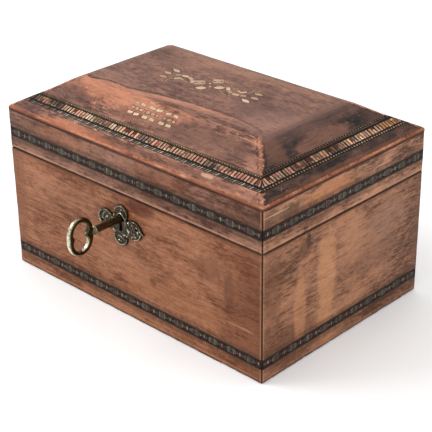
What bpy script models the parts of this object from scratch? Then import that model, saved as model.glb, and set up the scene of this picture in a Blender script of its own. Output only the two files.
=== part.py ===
"""Hinged wooden storage box with a hipped lid, inlaid bands, escutcheon and key.

Metres, +Z up. The origin is on the underside, at the middle of the case. The front, with the key, faces -Y.
"""

import math

import bmesh
import bpy
from mathutils import Matrix, Vector

# ---------------------------------------------------------------- driving sizes
WIDTH = 0.230  # along X
DEPTH = 0.156  # along Y
WALL = 0.009  # thickness of the side boards
FLOOR = 0.008  # thickness of the bottom board
GAP = 0.0003  # joint between touching pieces

Z_CASE = 0.0885  # top edge of the case
Z_LID = 0.0890  # lower edge of the lid
Z_RIM = 0.1167  # top edge of the lid's rim boards
Z_PANEL = 0.1170  # underside of the top panel's edge
Z_ARRIS = 0.1190  # arris where the slopes begin
Z_CROWN = 0.1400  # highest point of the lid
INSET_X = 0.036  # plan width of the slopes at the ends
INSET_Y = 0.038  # plan width of the slopes at front and back
CROWN = 0.0010  # rise of the flat part towards its middle
SOFTNESS = 0.07  # rounding between slope and flat part, as a share of the slope
PANEL = 0.009  # thickness of the top panel

CASE_BAND = (0.0100, 0.0168)  # inlaid band low on the case
RIM_BAND = (0.0975, 0.1043)  # inlaid band on the lid's rim
GROOVE = 0.0010  # depth of the grooves for the inlay
STRIP = 0.0007  # thickness of the inlay
MOSAIC = (0.200, 0.450)  # mosaic on the slopes, as shares of the slope

KEY_X, KEY_Z = -0.005, 0.072  # axis of the key
KEY_SHAFT = 0.0024  # radius
BOW_FROM, BOW_TO = 0.0248, 0.0453  # reach of the bow out of the front
BOW_HALF_HEIGHT = 0.01275
BOW_THICK = 0.0032
KEY_END = 0.0070  # how far the key reaches into the case from the front face
PLATE_Z = 0.067  # middle of the escutcheon
PLATE_THICK = 0.0016

LOCK_HALF, LOCK_LOW = 0.020, 0.0583
SELVEDGE_HALF, SELVEDGE_THICK = 0.025, 0.0011
STAPLE_X = 0.013

HINGE_X = 0.072
HINGE_HALF = 0.013
HINGE_Y = DEPTH / 2 + 0.0023
HINGE_Z = (Z_CASE + Z_LID) / 2
KNUCKLE = 0.0020
KNUCKLE_SPLIT = 0.0045  # half length of the middle knuckle with its joint
PIN = 0.0008
LEAF_THICK = 0.0010
LEAF_DEPTH = 0.0075

FRONT = -DEPTH / 2
BACK = DEPTH / 2

# ---------------------------------------------------------------- an empty scene
for old in list(bpy.data.objects):
    bpy.data.objects.remove(old, do_unlink=True)

scene = bpy.context.scene
parts = bpy.data.collections.new("storage_box")
cutters = bpy.data.collections.new("cutters")
scene.collection.children.link(parts)
scene.collection.children.link(cutters)


def material(name, colour, roughness, metallic=0.0):
    made = bpy.data.materials.new(name)
    made.use_nodes = True
    shader = made.node_tree.nodes["Principled BSDF"]
    shader.inputs["Base Color"].default_value = (*colour, 1.0)
    shader.inputs["Roughness"].default_value = roughness
    shader.inputs["Metallic"].default_value = metallic
    made.diffuse_color = (*colour, 1.0)
    return made


CASE_WOOD = (0.32, 0.15, 0.09)
LID_WOOD = (0.30, 0.14, 0.09)
DARK_INLAY = (0.06, 0.055, 0.05)
PALE_INLAY = (0.40, 0.30, 0.20)
BRASS = (0.24, 0.20, 0.13)


# ---------------------------------------------------------------- building blocks
def add(name, mesh, collection, finish=None):
    made = bpy.data.objects.new(name, mesh)
    collection.objects.link(made)
    if finish is not None:
        mesh.materials.append(finish)
    return made


def block(low, high):
    """A bmesh cube stretched between two corners."""
    made = bmesh.new()
    bmesh.ops.create_cube(made, size=1.0)
    size = [high[i] - low[i] for i in range(3)]
    middle = [(high[i] + low[i]) / 2 for i in range(3)]
    bmesh.ops.scale(made, vec=size, verts=made.verts)
    bmesh.ops.translate(made, vec=middle, verts=made.verts)
    return made


def slice_off(made, point, normal):
    """Cuts away what lies beyond the plane and closes the cut."""
    geometry = made.verts[:] + made.edges[:] + made.faces[:]
    bmesh.ops.bisect_plane(made, geom=geometry, dist=1e-7, plane_co=point, plane_no=normal, clear_outer=True)
    bmesh.ops.holes_fill(made, edges=made.edges, sides=0)


def finish_mesh(name, made):
    bmesh.ops.recalc_face_normals(made, faces=made.faces)
    if made.calc_volume(signed=True) < 0:
        bmesh.ops.reverse_faces(made, faces=made.faces)
    mesh = bpy.data.meshes.new(name)
    made.to_mesh(mesh)
    made.free()
    return mesh


def cutter(name, made):
    tool = add(name, finish_mesh(name, made), cutters)
    tool.hide_render = True
    tool.display_type = "WIRE"
    return tool


def cut(target, tool, operation="DIFFERENCE"):
    modifier = target.modifiers.new(tool.name, "BOOLEAN")
    modifier.object = tool
    modifier.operation = operation
    modifier.solver = "EXACT"


def cylinder(radius, low, high, axis, centre, sides=28):
    """A closed cylinder between two positions on an axis, 0 for X, 1 for Y, 2 for Z."""
    made = bmesh.new()
    bmesh.ops.create_cone(made, cap_ends=True, segments=sides, radius1=radius, radius2=radius, depth=high - low)
    turn = {0: Matrix.Rotation(math.pi / 2, 3, "Y"), 1: Matrix.Rotation(math.pi / 2, 3, "X"), 2: Matrix.Identity(3)}[axis]
    bmesh.ops.rotate(made, cent=(0, 0, 0), matrix=turn, verts=made.verts)
    place = list(centre)
    place[axis] = (low + high) / 2
    bmesh.ops.translate(made, vec=place, verts=made.verts)
    return made


SIDES = {"front": (0, -1), "back": (0, 1), "left": (-1, 0), "right": (1, 0)}


def mitred(side, outside, inside, low, high):
    """A board or strip along one side, between two depths from the outer face, with 45 degree ends."""
    sx, sy = SIDES[side]
    half = (WIDTH / 2, DEPTH / 2)
    if sy:
        faces = sorted((sy * (half[1] - outside), sy * (half[1] - inside)))
        made = block((-half[0], faces[0], low), (half[0], faces[1], high))
        ends = [(cx, sy) for cx in (-1, 1)]
    else:
        faces = sorted((sx * (half[0] - outside), sx * (half[0] - inside)))
        made = block((faces[0], -half[1], low), (faces[1], half[1], high))
        ends = [(sx, cy) for cy in (-1, 1)]
    for cx, cy in ends:
        normal = Vector((cx, -cy, 0)) if sy else Vector((-cx, cy, 0))
        normal.normalize()
        corner = Vector((cx * half[0], cy * half[1], 0)) - normal * GAP / 2
        slice_off(made, corner, normal)
    return made


def groove_cutter(side, band):
    """A bar that cuts the groove for an inlaid band along one side."""
    sx, sy = SIDES[side]
    over = 0.004
    half = (WIDTH / 2, DEPTH / 2)
    low, high = band[0] - GAP, band[1] + GAP
    if sy:
        faces = sorted((sy * (half[1] + over), sy * (half[1] - GROOVE)))
        made = block((-half[0] - over, faces[0], low), (half[0] + over, faces[1], high))
    else:
        faces = sorted((sx * (half[0] + over), sx * (half[0] - GROOVE)))
        made = block((faces[0], -half[1] - over, low), (faces[1], half[1] + over, high))
    return cutter(f"groove_{side}_{int(round(band[0] * 1e4))}", made)


# ---------------------------------------------------------------- case and rim boards, and their inlaid bands
boards = {}
for prefix, low, high, band, colour in (
    ("base", 0.0, Z_CASE, CASE_BAND, CASE_WOOD),
    ("lid", Z_LID, Z_RIM, RIM_BAND, LID_WOOD),
):
    for side in SIDES:
        name = f"{prefix}_{side}_board"
        mesh = finish_mesh(name, mitred(side, 0.0, WALL, low, high))
        boards[name] = add(name, mesh, parts, material(name, colour, 0.5))
        cut(boards[name], groove_cutter(side, band))
        strip = f"{prefix}_band_{side}"
        mesh = finish_mesh(strip, mitred(side, 0.0, STRIP, band[0], band[1]))
        add(strip, mesh, parts, material(strip, DARK_INLAY, 0.55))

inner_x, inner_y = WIDTH / 2 - WALL - GAP, DEPTH / 2 - WALL - GAP
floor_mesh = finish_mesh("base_bottom_board", block((-inner_x, -inner_y, 0.0), (inner_x, inner_y, FLOOR)))
add("base_bottom_board", floor_mesh, parts, material("base_bottom_board", (0.30, 0.19, 0.11), 0.7))


# ---------------------------------------------------------------- top panel, a hipped and hollowed loft
def ring(inset_x, inset_y, height, radius, steps=5):
    """A rounded rectangle at one height, anticlockwise from the near right corner."""
    ax, ay = WIDTH / 2 - inset_x, DEPTH / 2 - inset_y
    points = []
    for sx, sy, start in ((1, -1, -90), (1, 1, 0), (-1, 1, 90), (-1, -1, 180)):
        for k in range(steps + 1):
            angle = math.radians(start + 90 * k / steps)
            points.append(
                (
                    sx * (ax - radius) + radius * math.cos(angle),
                    sy * (ay - radius) + radius * math.sin(angle),
                    height,
                )
            )
    return points


def rise(share):
    """Height over the arris, for a share of the slope. It runs straight up and then bends into the crown."""
    straight = Z_CROWN - CROWN - Z_ARRIS
    bend = SOFTNESS * math.log1p(math.exp((share - 1) / SOFTNESS))
    crown = CROWN * (1 - math.exp(-max(share - 0.9, 0) / 0.35))
    return straight * (share - bend) + crown


def slope_ring(share, depth=0.0):
    """A ring on the slope, or below it by a depth square to the slope."""
    straight = Z_CROWN - CROWN - Z_ARRIS
    length = math.hypot(straight, (INSET_X + INSET_Y) / 2)
    beyond = max(share - 1, 0) * INSET_Y
    reach = min(share, 1)
    aside = depth * straight / length
    radius = 0.0006 + 0.0046 * min(share, 1.0) ** 2
    return ring(
        reach * INSET_X + beyond + aside,
        reach * INSET_Y + beyond + aside,
        Z_ARRIS + rise(share) - depth * (INSET_X + INSET_Y) / 2 / length,
        radius,
    )


first, last = MOSAIC[0] - 0.007, MOSAIC[1] + 0.007
rings = [
    ring(0.0375, 0.0375, Z_CROWN - PANEL, 0.003),
    ring(WALL, WALL, Z_PANEL, 0.0006),
    ring(0.0, 0.0, Z_PANEL, 0.0006),
    ring(0.0, 0.0, Z_ARRIS - 0.0007, 0.0006),
    ring(0.0003, 0.0003, Z_ARRIS - 0.0001, 0.0006),
    slope_ring(0.035),
    slope_ring(first),
    slope_ring(first, GROOVE),
    slope_ring(last, GROOVE),
    slope_ring(last),
]
rings += [slope_ring(share) for share in (0.65, 0.80, 0.88, 0.94, 1.0, 1.06, 1.13, 1.25, 1.45, 1.70, 1.90)]
loft = bmesh.new()
rows = [[loft.verts.new(point) for point in points] for points in rings]
count = len(rows[0])
for lower, upper in zip(rows, rows[1:]):
    for i in range(count):
        j = (i + 1) % count
        loft.faces.new((lower[i], lower[j], upper[j], upper[i]))
loft.faces.new(rows[0])
loft.faces.new(rows[-1])
panel_mesh = finish_mesh("lid_top_panel", loft)
add("lid_top_panel", panel_mesh, parts, material("lid_top_panel", LID_WOOD, 0.5))


# ---------------------------------------------------------------- mosaic strips on the slopes
def mosaic_strip(side):
    """A flat strip in the groove of one slope. Its ends follow the hips."""
    sx, sy = SIDES[side]
    straight = Z_CROWN - CROWN - Z_ARRIS
    inset = INSET_Y if sy else INSET_X
    length = math.hypot(straight, inset)
    made = block((-1, -1, -1), (1, 1, 1))
    for vert in made.verts:
        along, across, up = vert.co
        share = MOSAIC[1] if across > 0 else MOSAIC[0]
        depth = 0.0 if up > 0 else STRIP
        away = share * inset + depth * straight / length
        height = Z_ARRIS + rise(share) - depth * inset / length
        if sy:
            reach = WIDTH / 2 - away * INSET_X / INSET_Y - 0.00025
            vert.co = (along * reach, sy * (DEPTH / 2 - away), height)
        else:
            reach = DEPTH / 2 - away * INSET_Y / INSET_X - 0.00025
            vert.co = (sx * (WIDTH / 2 - away), along * reach, height)
    return made


for side in SIDES:
    name = f"mosaic_{side}"
    add(name, finish_mesh(name, mosaic_strip(side)), parts, material(name, PALE_INLAY, 0.5))


# ---------------------------------------------------------------- escutcheon
def lobe_reach(angle, x, z, ax, az):
    """How far a ray from the middle at an angle reaches before it leaves an ellipse at x, z."""
    dx, dz = math.cos(angle), math.sin(angle)
    a = (dx / ax) ** 2 + (dz / az) ** 2
    b = -2 * (dx * x / ax**2 + dz * z / az**2)
    c = (x / ax) ** 2 + (z / az) ** 2 - 1
    root = b * b - 4 * a * c
    return 0.0 if root < 0 else (-b + math.sqrt(root)) / (2 * a)


LOBES = (
    (0.0, 0.0, 0.0088, 0.0098),
    (-0.0135, 0.0006, 0.0080, 0.0066),
    (0.0118, -0.0002, 0.0074, 0.0068),
    (0.0005, 0.0086, 0.0060, 0.0060),
    (-0.0005, -0.0090, 0.0062, 0.0057),
)
outline = []
for step in range(96):
    angle = 2 * math.pi * step / 96
    reach = max(lobe_reach(angle, *lobe) for lobe in LOBES)
    point = 0.0216 - 0.034 * abs(math.sin(angle)) if abs(angle) < 0.6 or angle > 2 * math.pi - 0.6 else 0.0
    reach = max(reach, point)
    outline.append((reach * math.cos(angle), reach * math.sin(angle)))

plate = bpy.data.curves.new("escutcheon_outline", "CURVE")
plate.dimensions = "2D"
plate.fill_mode = "BOTH"
plate.extrude = PLATE_THICK / 2
spline = plate.splines.new("POLY")
spline.points.add(len(outline) - 1)
for point, (x, z) in zip(spline.points, outline):
    point.co = (x, z, 0, 1)
spline.use_cyclic_u = True
guide = add("escutcheon_outline", plate, cutters)
guide.rotation_euler = (math.pi / 2, 0, 0)
guide.location = (KEY_X, FRONT - GAP - PLATE_THICK / 2, PLATE_Z)
bpy.context.view_layer.update()


def realised(source, name, finish):
    """The closed mesh of a curve object, in the curve's place. The curve is removed."""
    graph = bpy.context.evaluated_depsgraph_get()
    mesh = bpy.data.meshes.new_from_object(source.evaluated_get(graph))
    welded = bmesh.new()
    welded.from_mesh(mesh)
    bmesh.ops.remove_doubles(welded, verts=welded.verts, dist=1e-6)
    bmesh.ops.recalc_face_normals(welded, faces=welded.faces)
    if welded.calc_volume(signed=True) < 0:
        bmesh.ops.reverse_faces(welded, faces=welded.faces)
    welded.to_mesh(mesh)
    welded.free()
    mesh.materials.clear()
    made = add(name, mesh, parts, finish)
    made.matrix_world = source.matrix_world.copy()
    bpy.data.objects.remove(source, do_unlink=True)
    return made


escutcheon = realised(guide, "escutcheon", material("escutcheon", BRASS, 0.35, 1.0))


def keyhole(name, radius, half_slot, low, front, back):
    """Cuts the round part of the keyhole and the slot below it."""
    cut_round = cutter(name + "_round", cylinder(radius, front, back, 1, (KEY_X, 0, KEY_Z)))
    cut_slot = cutter(name + "_slot", block((KEY_X - half_slot, front, low), (KEY_X + half_slot, back, KEY_Z)))
    return cut_round, cut_slot


for tool in keyhole("plate_keyhole", 0.0028, 0.0013, 0.0630, FRONT - 0.004, FRONT + 0.0001):
    cut(escutcheon, tool)
for tool in keyhole("board_keyhole", 0.0029, 0.0014, 0.0628, FRONT - 0.004, FRONT + 0.004):
    cut(boards["base_front_board"], tool)

# ---------------------------------------------------------------- lock, let into the front board
lock_front = FRONT + 0.0033
lock_back = FRONT + WALL
selvedge_front = FRONT + 0.0025
lock_top = Z_CASE - 0.0001
cut(
    boards["base_front_board"],
    cutter(
        "lock_recess",
        block((KEY_X - LOCK_HALF - GAP, lock_front - GAP, LOCK_LOW - GAP), (KEY_X + LOCK_HALF + GAP, lock_back + 0.002, 0.1)),
    ),
)
cut(
    boards["base_front_board"],
    cutter(
        "selvedge_recess",
        block(
            (KEY_X - SELVEDGE_HALF - GAP, selvedge_front - GAP, lock_top - SELVEDGE_THICK - GAP),
            (KEY_X + SELVEDGE_HALF + GAP, lock_back + 0.003, 0.11),
        ),
    ),
)
lock = add(
    "lock",
    finish_mesh("lock", block((KEY_X - LOCK_HALF, lock_front, LOCK_LOW), (KEY_X + LOCK_HALF, lock_back, lock_top - 0.0004))),
    parts,
    material("lock", (0.30, 0.25, 0.15), 0.45, 1.0),
)
cut(
    lock,
    cutter(
        "selvedge",
        block((KEY_X - SELVEDGE_HALF, selvedge_front, lock_top - SELVEDGE_THICK), (KEY_X + SELVEDGE_HALF, lock_back, lock_top)),
    ),
    "UNION",
)
cut(lock, cutter("lock_pocket", block((KEY_X - 0.007, lock_front - 0.003, 0.0615), (KEY_X + 0.007, lock_back - 0.0012, 0.0785))))
for sign in (-1, 1):
    x = KEY_X + sign * STAPLE_X
    cut(lock, cutter(f"staple_slot_{sign + 1}", block((x - 0.0022, FRONT + 0.0039, 0.0797), (x + 0.0022, FRONT + 0.0079, 0.1))))

# ---------------------------------------------------------------- strike plate with two staples, in the lid
cut(
    boards["lid_front_board"],
    cutter(
        "strike_recess",
        block(
            (KEY_X - SELVEDGE_HALF - GAP, selvedge_front - GAP, Z_LID - 0.002),
            (KEY_X + SELVEDGE_HALF + GAP, lock_back + 0.003, Z_LID + 0.0015),
        ),
    ),
)
strike = add(
    "strike_plate",
    finish_mesh(
        "strike_plate",
        block((KEY_X - SELVEDGE_HALF, selvedge_front, Z_LID + 0.00005), (KEY_X + SELVEDGE_HALF, lock_back, Z_LID + 0.0012)),
    ),
    parts,
    material("strike_plate", (0.30, 0.25, 0.15), 0.45, 1.0),
)
for sign in (-1, 1):
    x = KEY_X + sign * STAPLE_X
    tab = cutter(f"staple_{sign + 1}", block((x - 0.00075, FRONT + 0.0044, 0.0816), (x + 0.00075, FRONT + 0.0074, Z_LID + 0.0006)))
    cut(strike, tab, "UNION")
    cut(strike, cutter(f"staple_eye_{sign + 1}", cylinder(0.0009, x - 0.002, x + 0.002, 0, (0, FRONT + 0.0059, 0.0840), 16)))

# ---------------------------------------------------------------- key
bow_y = FRONT - (BOW_FROM + BOW_TO) / 2
bow_half = (BOW_TO - BOW_FROM) / 2


def bow_outer(angle):
    """Outer edge of the bow, an oval a little flattened at its sides. Angle 0 points at the case."""
    c, s = math.cos(angle), math.sin(angle)
    power = 2.2
    scale = (abs(c / bow_half) ** power + abs(s / BOW_HALF_HEIGHT) ** power) ** (-1 / power)
    return scale


def bow_inner(angle):
    """Opening of the bow, a kidney with a cusp towards the shaft and a low bump opposite."""
    c, s = math.cos(angle), math.sin(angle)
    oval = 1 / math.hypot(c / 0.0066, s / 0.0093)
    near = math.atan2(s, c)
    far = math.atan2(-s, -c)
    return oval - 0.0034 * math.exp(-((near / 0.36) ** 2)) - 0.0012 * math.exp(-((far / 0.28) ** 2))


bow_curve = bpy.data.curves.new("bow_outline", "CURVE")
bow_curve.dimensions = "2D"
bow_curve.fill_mode = "BOTH"
bow_curve.extrude = BOW_THICK / 2 - 0.0008
bow_curve.bevel_depth = 0.0008
bow_curve.bevel_resolution = 1
bow_curve.offset = -0.0008
for reach_of, steps in ((bow_outer, 40), (bow_inner, 44)):
    spline = bow_curve.splines.new("POLY")
    spline.points.add(steps - 1)
    for k, point in enumerate(spline.points):
        angle = 2 * math.pi * k / steps
        reach = reach_of(angle)
        point.co = (reach * math.cos(angle), reach * math.sin(angle), 0, 1)
    spline.use_cyclic_u = True
bow_guide = add("bow_outline", bow_curve, cutters)
# The outline's X becomes +Y and its Y becomes +Z, so its thickness lies along X.
bow_guide.rotation_euler = Matrix(((0, 0, 1), (1, 0, 0), (0, 1, 0))).to_euler()
bow_guide.location = (KEY_X, bow_y, KEY_Z)
bpy.context.view_layer.update()
key = realised(bow_guide, "key", material("key", BRASS, 0.3, 1.0))

# The shaft's turned profile, as reach out of the front face and radius.
profile = (
    (-KEY_END, KEY_SHAFT * 0.86),
    (-KEY_END + 0.0005, KEY_SHAFT),
    (0.0225, KEY_SHAFT),
    (0.0229, KEY_SHAFT + 0.0006),
    (0.0236, KEY_SHAFT + 0.0008),
    (0.0243, KEY_SHAFT + 0.0004),
    (0.0248, KEY_SHAFT - 0.0001),
    (0.0262, KEY_SHAFT - 0.0006),
    (0.0280, 0.0011),
)
turned = bmesh.new()
sides = 24
hoops = []
for reach, radius in profile:
    hoop = [
        turned.verts.new(
            (
                KEY_X + radius * math.cos(2 * math.pi * k / sides),
                FRONT - reach,
                KEY_Z + radius * math.sin(2 * math.pi * k / sides),
            )
        )
        for k in range(sides)
    ]
    hoops.append(hoop)
for lower, upper in zip(hoops, hoops[1:]):
    for k in range(sides):
        n = (k + 1) % sides
        turned.faces.new((lower[k], lower[n], upper[n], upper[k]))
turned.faces.new(hoops[0])
turned.faces.new(hoops[-1])
cut(key, cutter("key_shaft", turned), "UNION")
cut(
    key,
    cutter("key_bit", block((KEY_X - 0.0009, FRONT + 0.0037, 0.0640), (KEY_X + 0.0009, FRONT + 0.0067, KEY_Z - 0.001))),
    "UNION",
)
cut(
    key,
    cutter("key_ward", block((KEY_X - 0.002, FRONT + 0.0048, 0.0630), (KEY_X + 0.002, FRONT + 0.0055, 0.0665))),
)


# ---------------------------------------------------------------- hinges, let into the back boards
for word, sign in (("left", -1), ("right", 1)):
    x = sign * HINGE_X
    brass = (0.26, 0.21, 0.12)
    for owner, low, high, recess_low, recess_high in (
        ("base", Z_CASE - LEAF_THICK, Z_CASE, Z_CASE - LEAF_THICK - GAP, Z_CASE + 0.0004),
        ("lid", Z_LID, Z_LID + LEAF_THICK, Z_LID - 0.0004, Z_LID + LEAF_THICK + GAP),
    ):
        cut(
            boards[f"{owner}_back_board"],
            cutter(
                f"leaf_recess_{owner}_{word}",
                block((x - HINGE_HALF - GAP, BACK - LEAF_DEPTH - GAP, recess_low), (x + HINGE_HALF + GAP, BACK + 0.002, recess_high)),
            ),
        )
        name = f"hinge_{word}_{owner}_leaf"
        leaf = add(
            name,
            finish_mesh(name, block((x - HINGE_HALF, BACK - LEAF_DEPTH, low), (x + HINGE_HALF, BACK, high))),
            parts,
            material(name, brass, 0.45, 1.0),
        )
        if owner == "base":
            spans = ((x - HINGE_HALF, x - KNUCKLE_SPLIT), (x + KNUCKLE_SPLIT, x + HINGE_HALF))
        else:
            spans = ((x - KNUCKLE_SPLIT + GAP, x + KNUCKLE_SPLIT - GAP),)
        for k, (begin, end) in enumerate(spans):
            tab = cutter(f"{name}_tab_{k}", block((begin, BACK - 0.001, low), (end, HINGE_Y, high)))
            cut(leaf, tab, "UNION")
            barrel = cutter(f"{name}_barrel_{k}", cylinder(KNUCKLE, begin, end, 0, (0, HINGE_Y, HINGE_Z), 24))
            cut(leaf, barrel, "UNION")
        bore = cutter(
            f"{name}_bore", cylinder(PIN + GAP, x - HINGE_HALF - 0.002, x + HINGE_HALF + 0.002, 0, (0, HINGE_Y, HINGE_Z), 20)
        )
        cut(leaf, bore)
    name = f"hinge_{word}_pin"
    pin_mesh = finish_mesh(name, cylinder(PIN, x - HINGE_HALF - 0.0002, x + HINGE_HALF + 0.0002, 0, (0, HINGE_Y, HINGE_Z), 20))
    add(name, pin_mesh, parts, material(name, (0.30, 0.28, 0.24), 0.4, 1.0))

bpy.context.view_layer.update()
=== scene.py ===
"""Looks of a hinged wooden storage box with a hipped lid, inlaid bands, a mosaic border, an escutcheon and a key.

Sizes in this file are in millimetres, in the frame's axes, and become metres where a mesh is made.
"""

import itertools
import math
import random

import bmesh
import bpy
import numpy as np
from mathutils import Matrix, Vector


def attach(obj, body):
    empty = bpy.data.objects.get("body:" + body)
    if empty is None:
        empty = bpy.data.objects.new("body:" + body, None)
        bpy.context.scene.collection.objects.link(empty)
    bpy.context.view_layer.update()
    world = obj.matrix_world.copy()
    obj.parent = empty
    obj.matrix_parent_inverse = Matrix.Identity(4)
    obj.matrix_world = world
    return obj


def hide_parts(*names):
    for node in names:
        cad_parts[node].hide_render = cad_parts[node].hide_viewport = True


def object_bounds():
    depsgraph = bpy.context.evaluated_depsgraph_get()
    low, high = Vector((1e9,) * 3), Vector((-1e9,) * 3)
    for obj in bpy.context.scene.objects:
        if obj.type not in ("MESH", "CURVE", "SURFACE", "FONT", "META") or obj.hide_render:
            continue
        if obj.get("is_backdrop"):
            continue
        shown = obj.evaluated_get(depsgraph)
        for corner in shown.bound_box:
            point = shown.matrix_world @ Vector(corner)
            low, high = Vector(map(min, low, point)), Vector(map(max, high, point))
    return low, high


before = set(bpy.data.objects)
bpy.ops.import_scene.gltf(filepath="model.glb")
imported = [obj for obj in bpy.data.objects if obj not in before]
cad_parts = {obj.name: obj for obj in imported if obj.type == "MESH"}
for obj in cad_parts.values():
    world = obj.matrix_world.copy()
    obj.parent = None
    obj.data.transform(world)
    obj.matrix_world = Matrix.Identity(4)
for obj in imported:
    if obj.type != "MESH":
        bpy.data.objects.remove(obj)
CAD_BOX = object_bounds()

# ---------------------------------------------------------------- sizes, the same as the solids'
WIDTH, DEPTH, WALL = 230.0, 156.0, 9.0
Z_CASE, Z_LID, Z_RIM, Z_PANEL, Z_ARRIS, Z_CROWN = 88.5, 89.0, 116.7, 117.0, 119.0, 140.0
INSET_X, INSET_Y = 36.0, 38.0
CROWN, SOFTNESS, PANEL = 1.0, 0.07, 9.0
CASE_BAND, RIM_BAND = (10.0, 16.8), (97.5, 104.3)
GROOVE, STRIP = 1.0, 0.7
MOSAIC = (0.200, 0.450)
KEY_X, KEY_Z, KEY_SHAFT = -5.0, 72.0, 2.4
BOW_FROM, BOW_TO, BOW_HALF_HEIGHT, BOW_THICK = 24.8, 45.3, 12.75, 3.2
PLATE_Z = 67.0
FRONT, BACK = -DEPTH / 2, DEPTH / 2
LOCK_HALF, LOCK_LOW, SELVEDGE_HALF = 20.0, 58.3, 25.0
HINGE_X, HINGE_HALF, LEAF_DEPTH = 72.0, 13.0, 7.5
STRAIGHT = Z_CROWN - CROWN - Z_ARRIS
MM = 0.001
# How bright a matt white surface of the box looks, and how much light any surface adds by gloss.
LIT, GLOSS = 1.14, 0.030


# ---------------------------------------------------------------- small helpers
def noise(points, size, seed=0):
    """Smooth noise from -1 to 1 at points in millimetres, with cells of that size."""
    q = np.asarray(points, float).reshape(-1, 3) / size
    cell = np.floor(q).astype(np.int64)
    f = q - cell
    f = f * f * (3 - 2 * f)
    total = np.zeros(len(q))
    for corner in itertools.product((0, 1), repeat=3):
        c = cell + np.array(corner)
        n = (c[:, 0] * 374761393 + c[:, 1] * 668265263 + c[:, 2] * 1274126177 + seed * 974634777) & 0xFFFFFFFF
        n = ((n ^ (n >> 13)) * 1274126177) & 0xFFFFFFFF
        n = (n ^ (n >> 16)) & 0xFFFF
        weight = np.prod(np.where(np.array(corner) == 1, f, 1 - f), axis=1)
        total += weight * (n / 32767.5 - 1)
    return total


def round_corner(a, b, radius):
    """Points at distances a and b from two faces that meet at a right angle, moved onto a round arris."""
    near = (a < radius) & (b < radius)
    x, y = np.where(near, radius - a, 1.0), np.where(near, radius - b, 0.0)
    scale = np.maximum(x, y) / np.hypot(x, y)
    return np.where(near, radius - x * scale, a), np.where(near, radius - y * scale, b)


def graded(low, high, step, near=(0, 0.12, 0.3, 0.55, 0.9, 1.5, 2.4)):
    """Positions between two arrises, closer together near them."""
    inner = [n for n in near if n < (high - low) / 2 - 0.05]
    start, end = low + inner[-1], high - inner[-1]
    count = max(1, round((end - start) / step))
    middle = [start + (end - start) * k / count for k in range(1, count)]
    return [low + n for n in inner] + middle + [high - n for n in reversed(inner)]


def solid(name, verts, faces, slots, index=None, sharp=35.0):
    """A closed mesh object from millimetres, with its faces pointing out."""
    verts = np.asarray(verts, float).reshape(-1, 3)
    mesh = bpy.data.meshes.new(name)
    mesh.from_pydata((verts * MM).tolist(), [], faces)
    work = bmesh.new()
    work.from_mesh(mesh)
    if work.calc_volume(signed=True) < 0:
        bmesh.ops.reverse_faces(work, faces=work.faces)
        work.to_mesh(mesh)
    work.free()
    for slot in slots:
        mesh.materials.append(slot)
    if index is not None:
        mesh.polygons.foreach_set("material_index", index)
    mesh.shade_smooth()
    mesh.set_sharp_from_angle(angle=math.radians(sharp))
    made = bpy.data.objects.new(name, mesh)
    bpy.context.scene.collection.objects.link(made)
    return made


def realise(target, sharp=35.0):
    """Applies the object's modifiers to its mesh."""
    bpy.context.view_layer.update()
    graph = bpy.context.evaluated_depsgraph_get()
    mesh = bpy.data.meshes.new_from_object(target.evaluated_get(graph))
    old = target.data
    target.modifiers.clear()
    target.data = mesh
    mesh.name = target.name
    bpy.data.meshes.remove(old)
    mesh.shade_smooth()
    mesh.set_sharp_from_angle(angle=math.radians(sharp))


def subtract(target, tools, sharp=35.0):
    """Cuts the tools' shapes out of the target, applies the cuts and removes the tools."""
    for tool in tools:
        modifier = target.modifiers.new("cut", "BOOLEAN")
        modifier.object = tool
        modifier.operation = "DIFFERENCE"
        modifier.solver = "EXACT"
    realise(target, sharp)
    for tool in tools:
        bpy.data.objects.remove(tool, do_unlink=True)


def block(low, high, slot_index=0, slots=()):
    verts = [(x, y, z) for x in (low[0], high[0]) for y in (low[1], high[1]) for z in (low[2], high[2])]
    faces = [(0, 1, 3, 2), (4, 6, 7, 5), (0, 4, 5, 1), (2, 3, 7, 6), (0, 2, 6, 4), (1, 5, 7, 3)]
    return solid("tool", verts, faces, slots, [slot_index] * 6)


def rod(radius, start, end, axis, centre, sides=48, slot_index=0, slots=()):
    verts, faces = [], []
    others = [i for i in range(3) if i != axis]
    for position in (start, end):
        for k in range(sides):
            point = [0.0, 0.0, 0.0]
            point[axis] = position
            point[others[0]] = centre[0] + radius * math.cos(2 * math.pi * k / sides)
            point[others[1]] = centre[1] + radius * math.sin(2 * math.pi * k / sides)
            verts.append(point)
    for k in range(sides):
        n = (k + 1) % sides
        faces.append((k, n, sides + n, sides + k))
    faces += [tuple(range(sides)), tuple(range(sides, 2 * sides))]
    return solid("tool", verts, faces, slots, [slot_index] * len(faces))


# ---------------------------------------------------------------- materials
def tone(red, green, blue):
    """Albedo of a surface that should look like these display values, 0 to 255, under the studio's light."""
    linear = [((c / 255 + 0.055) / 1.055) ** 2.4 for c in (red, green, blue)]
    return tuple(max(least, (c - GLOSS) / LIT) for c, least in zip(linear, (0.0050, 0.0034, 0.0026)))


def shine(red, green, blue):
    """Reflectance of a metal, from display values."""
    return tuple(((c / 255 + 0.055) / 1.055) ** 2.4 for c in (red, green, blue))


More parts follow.
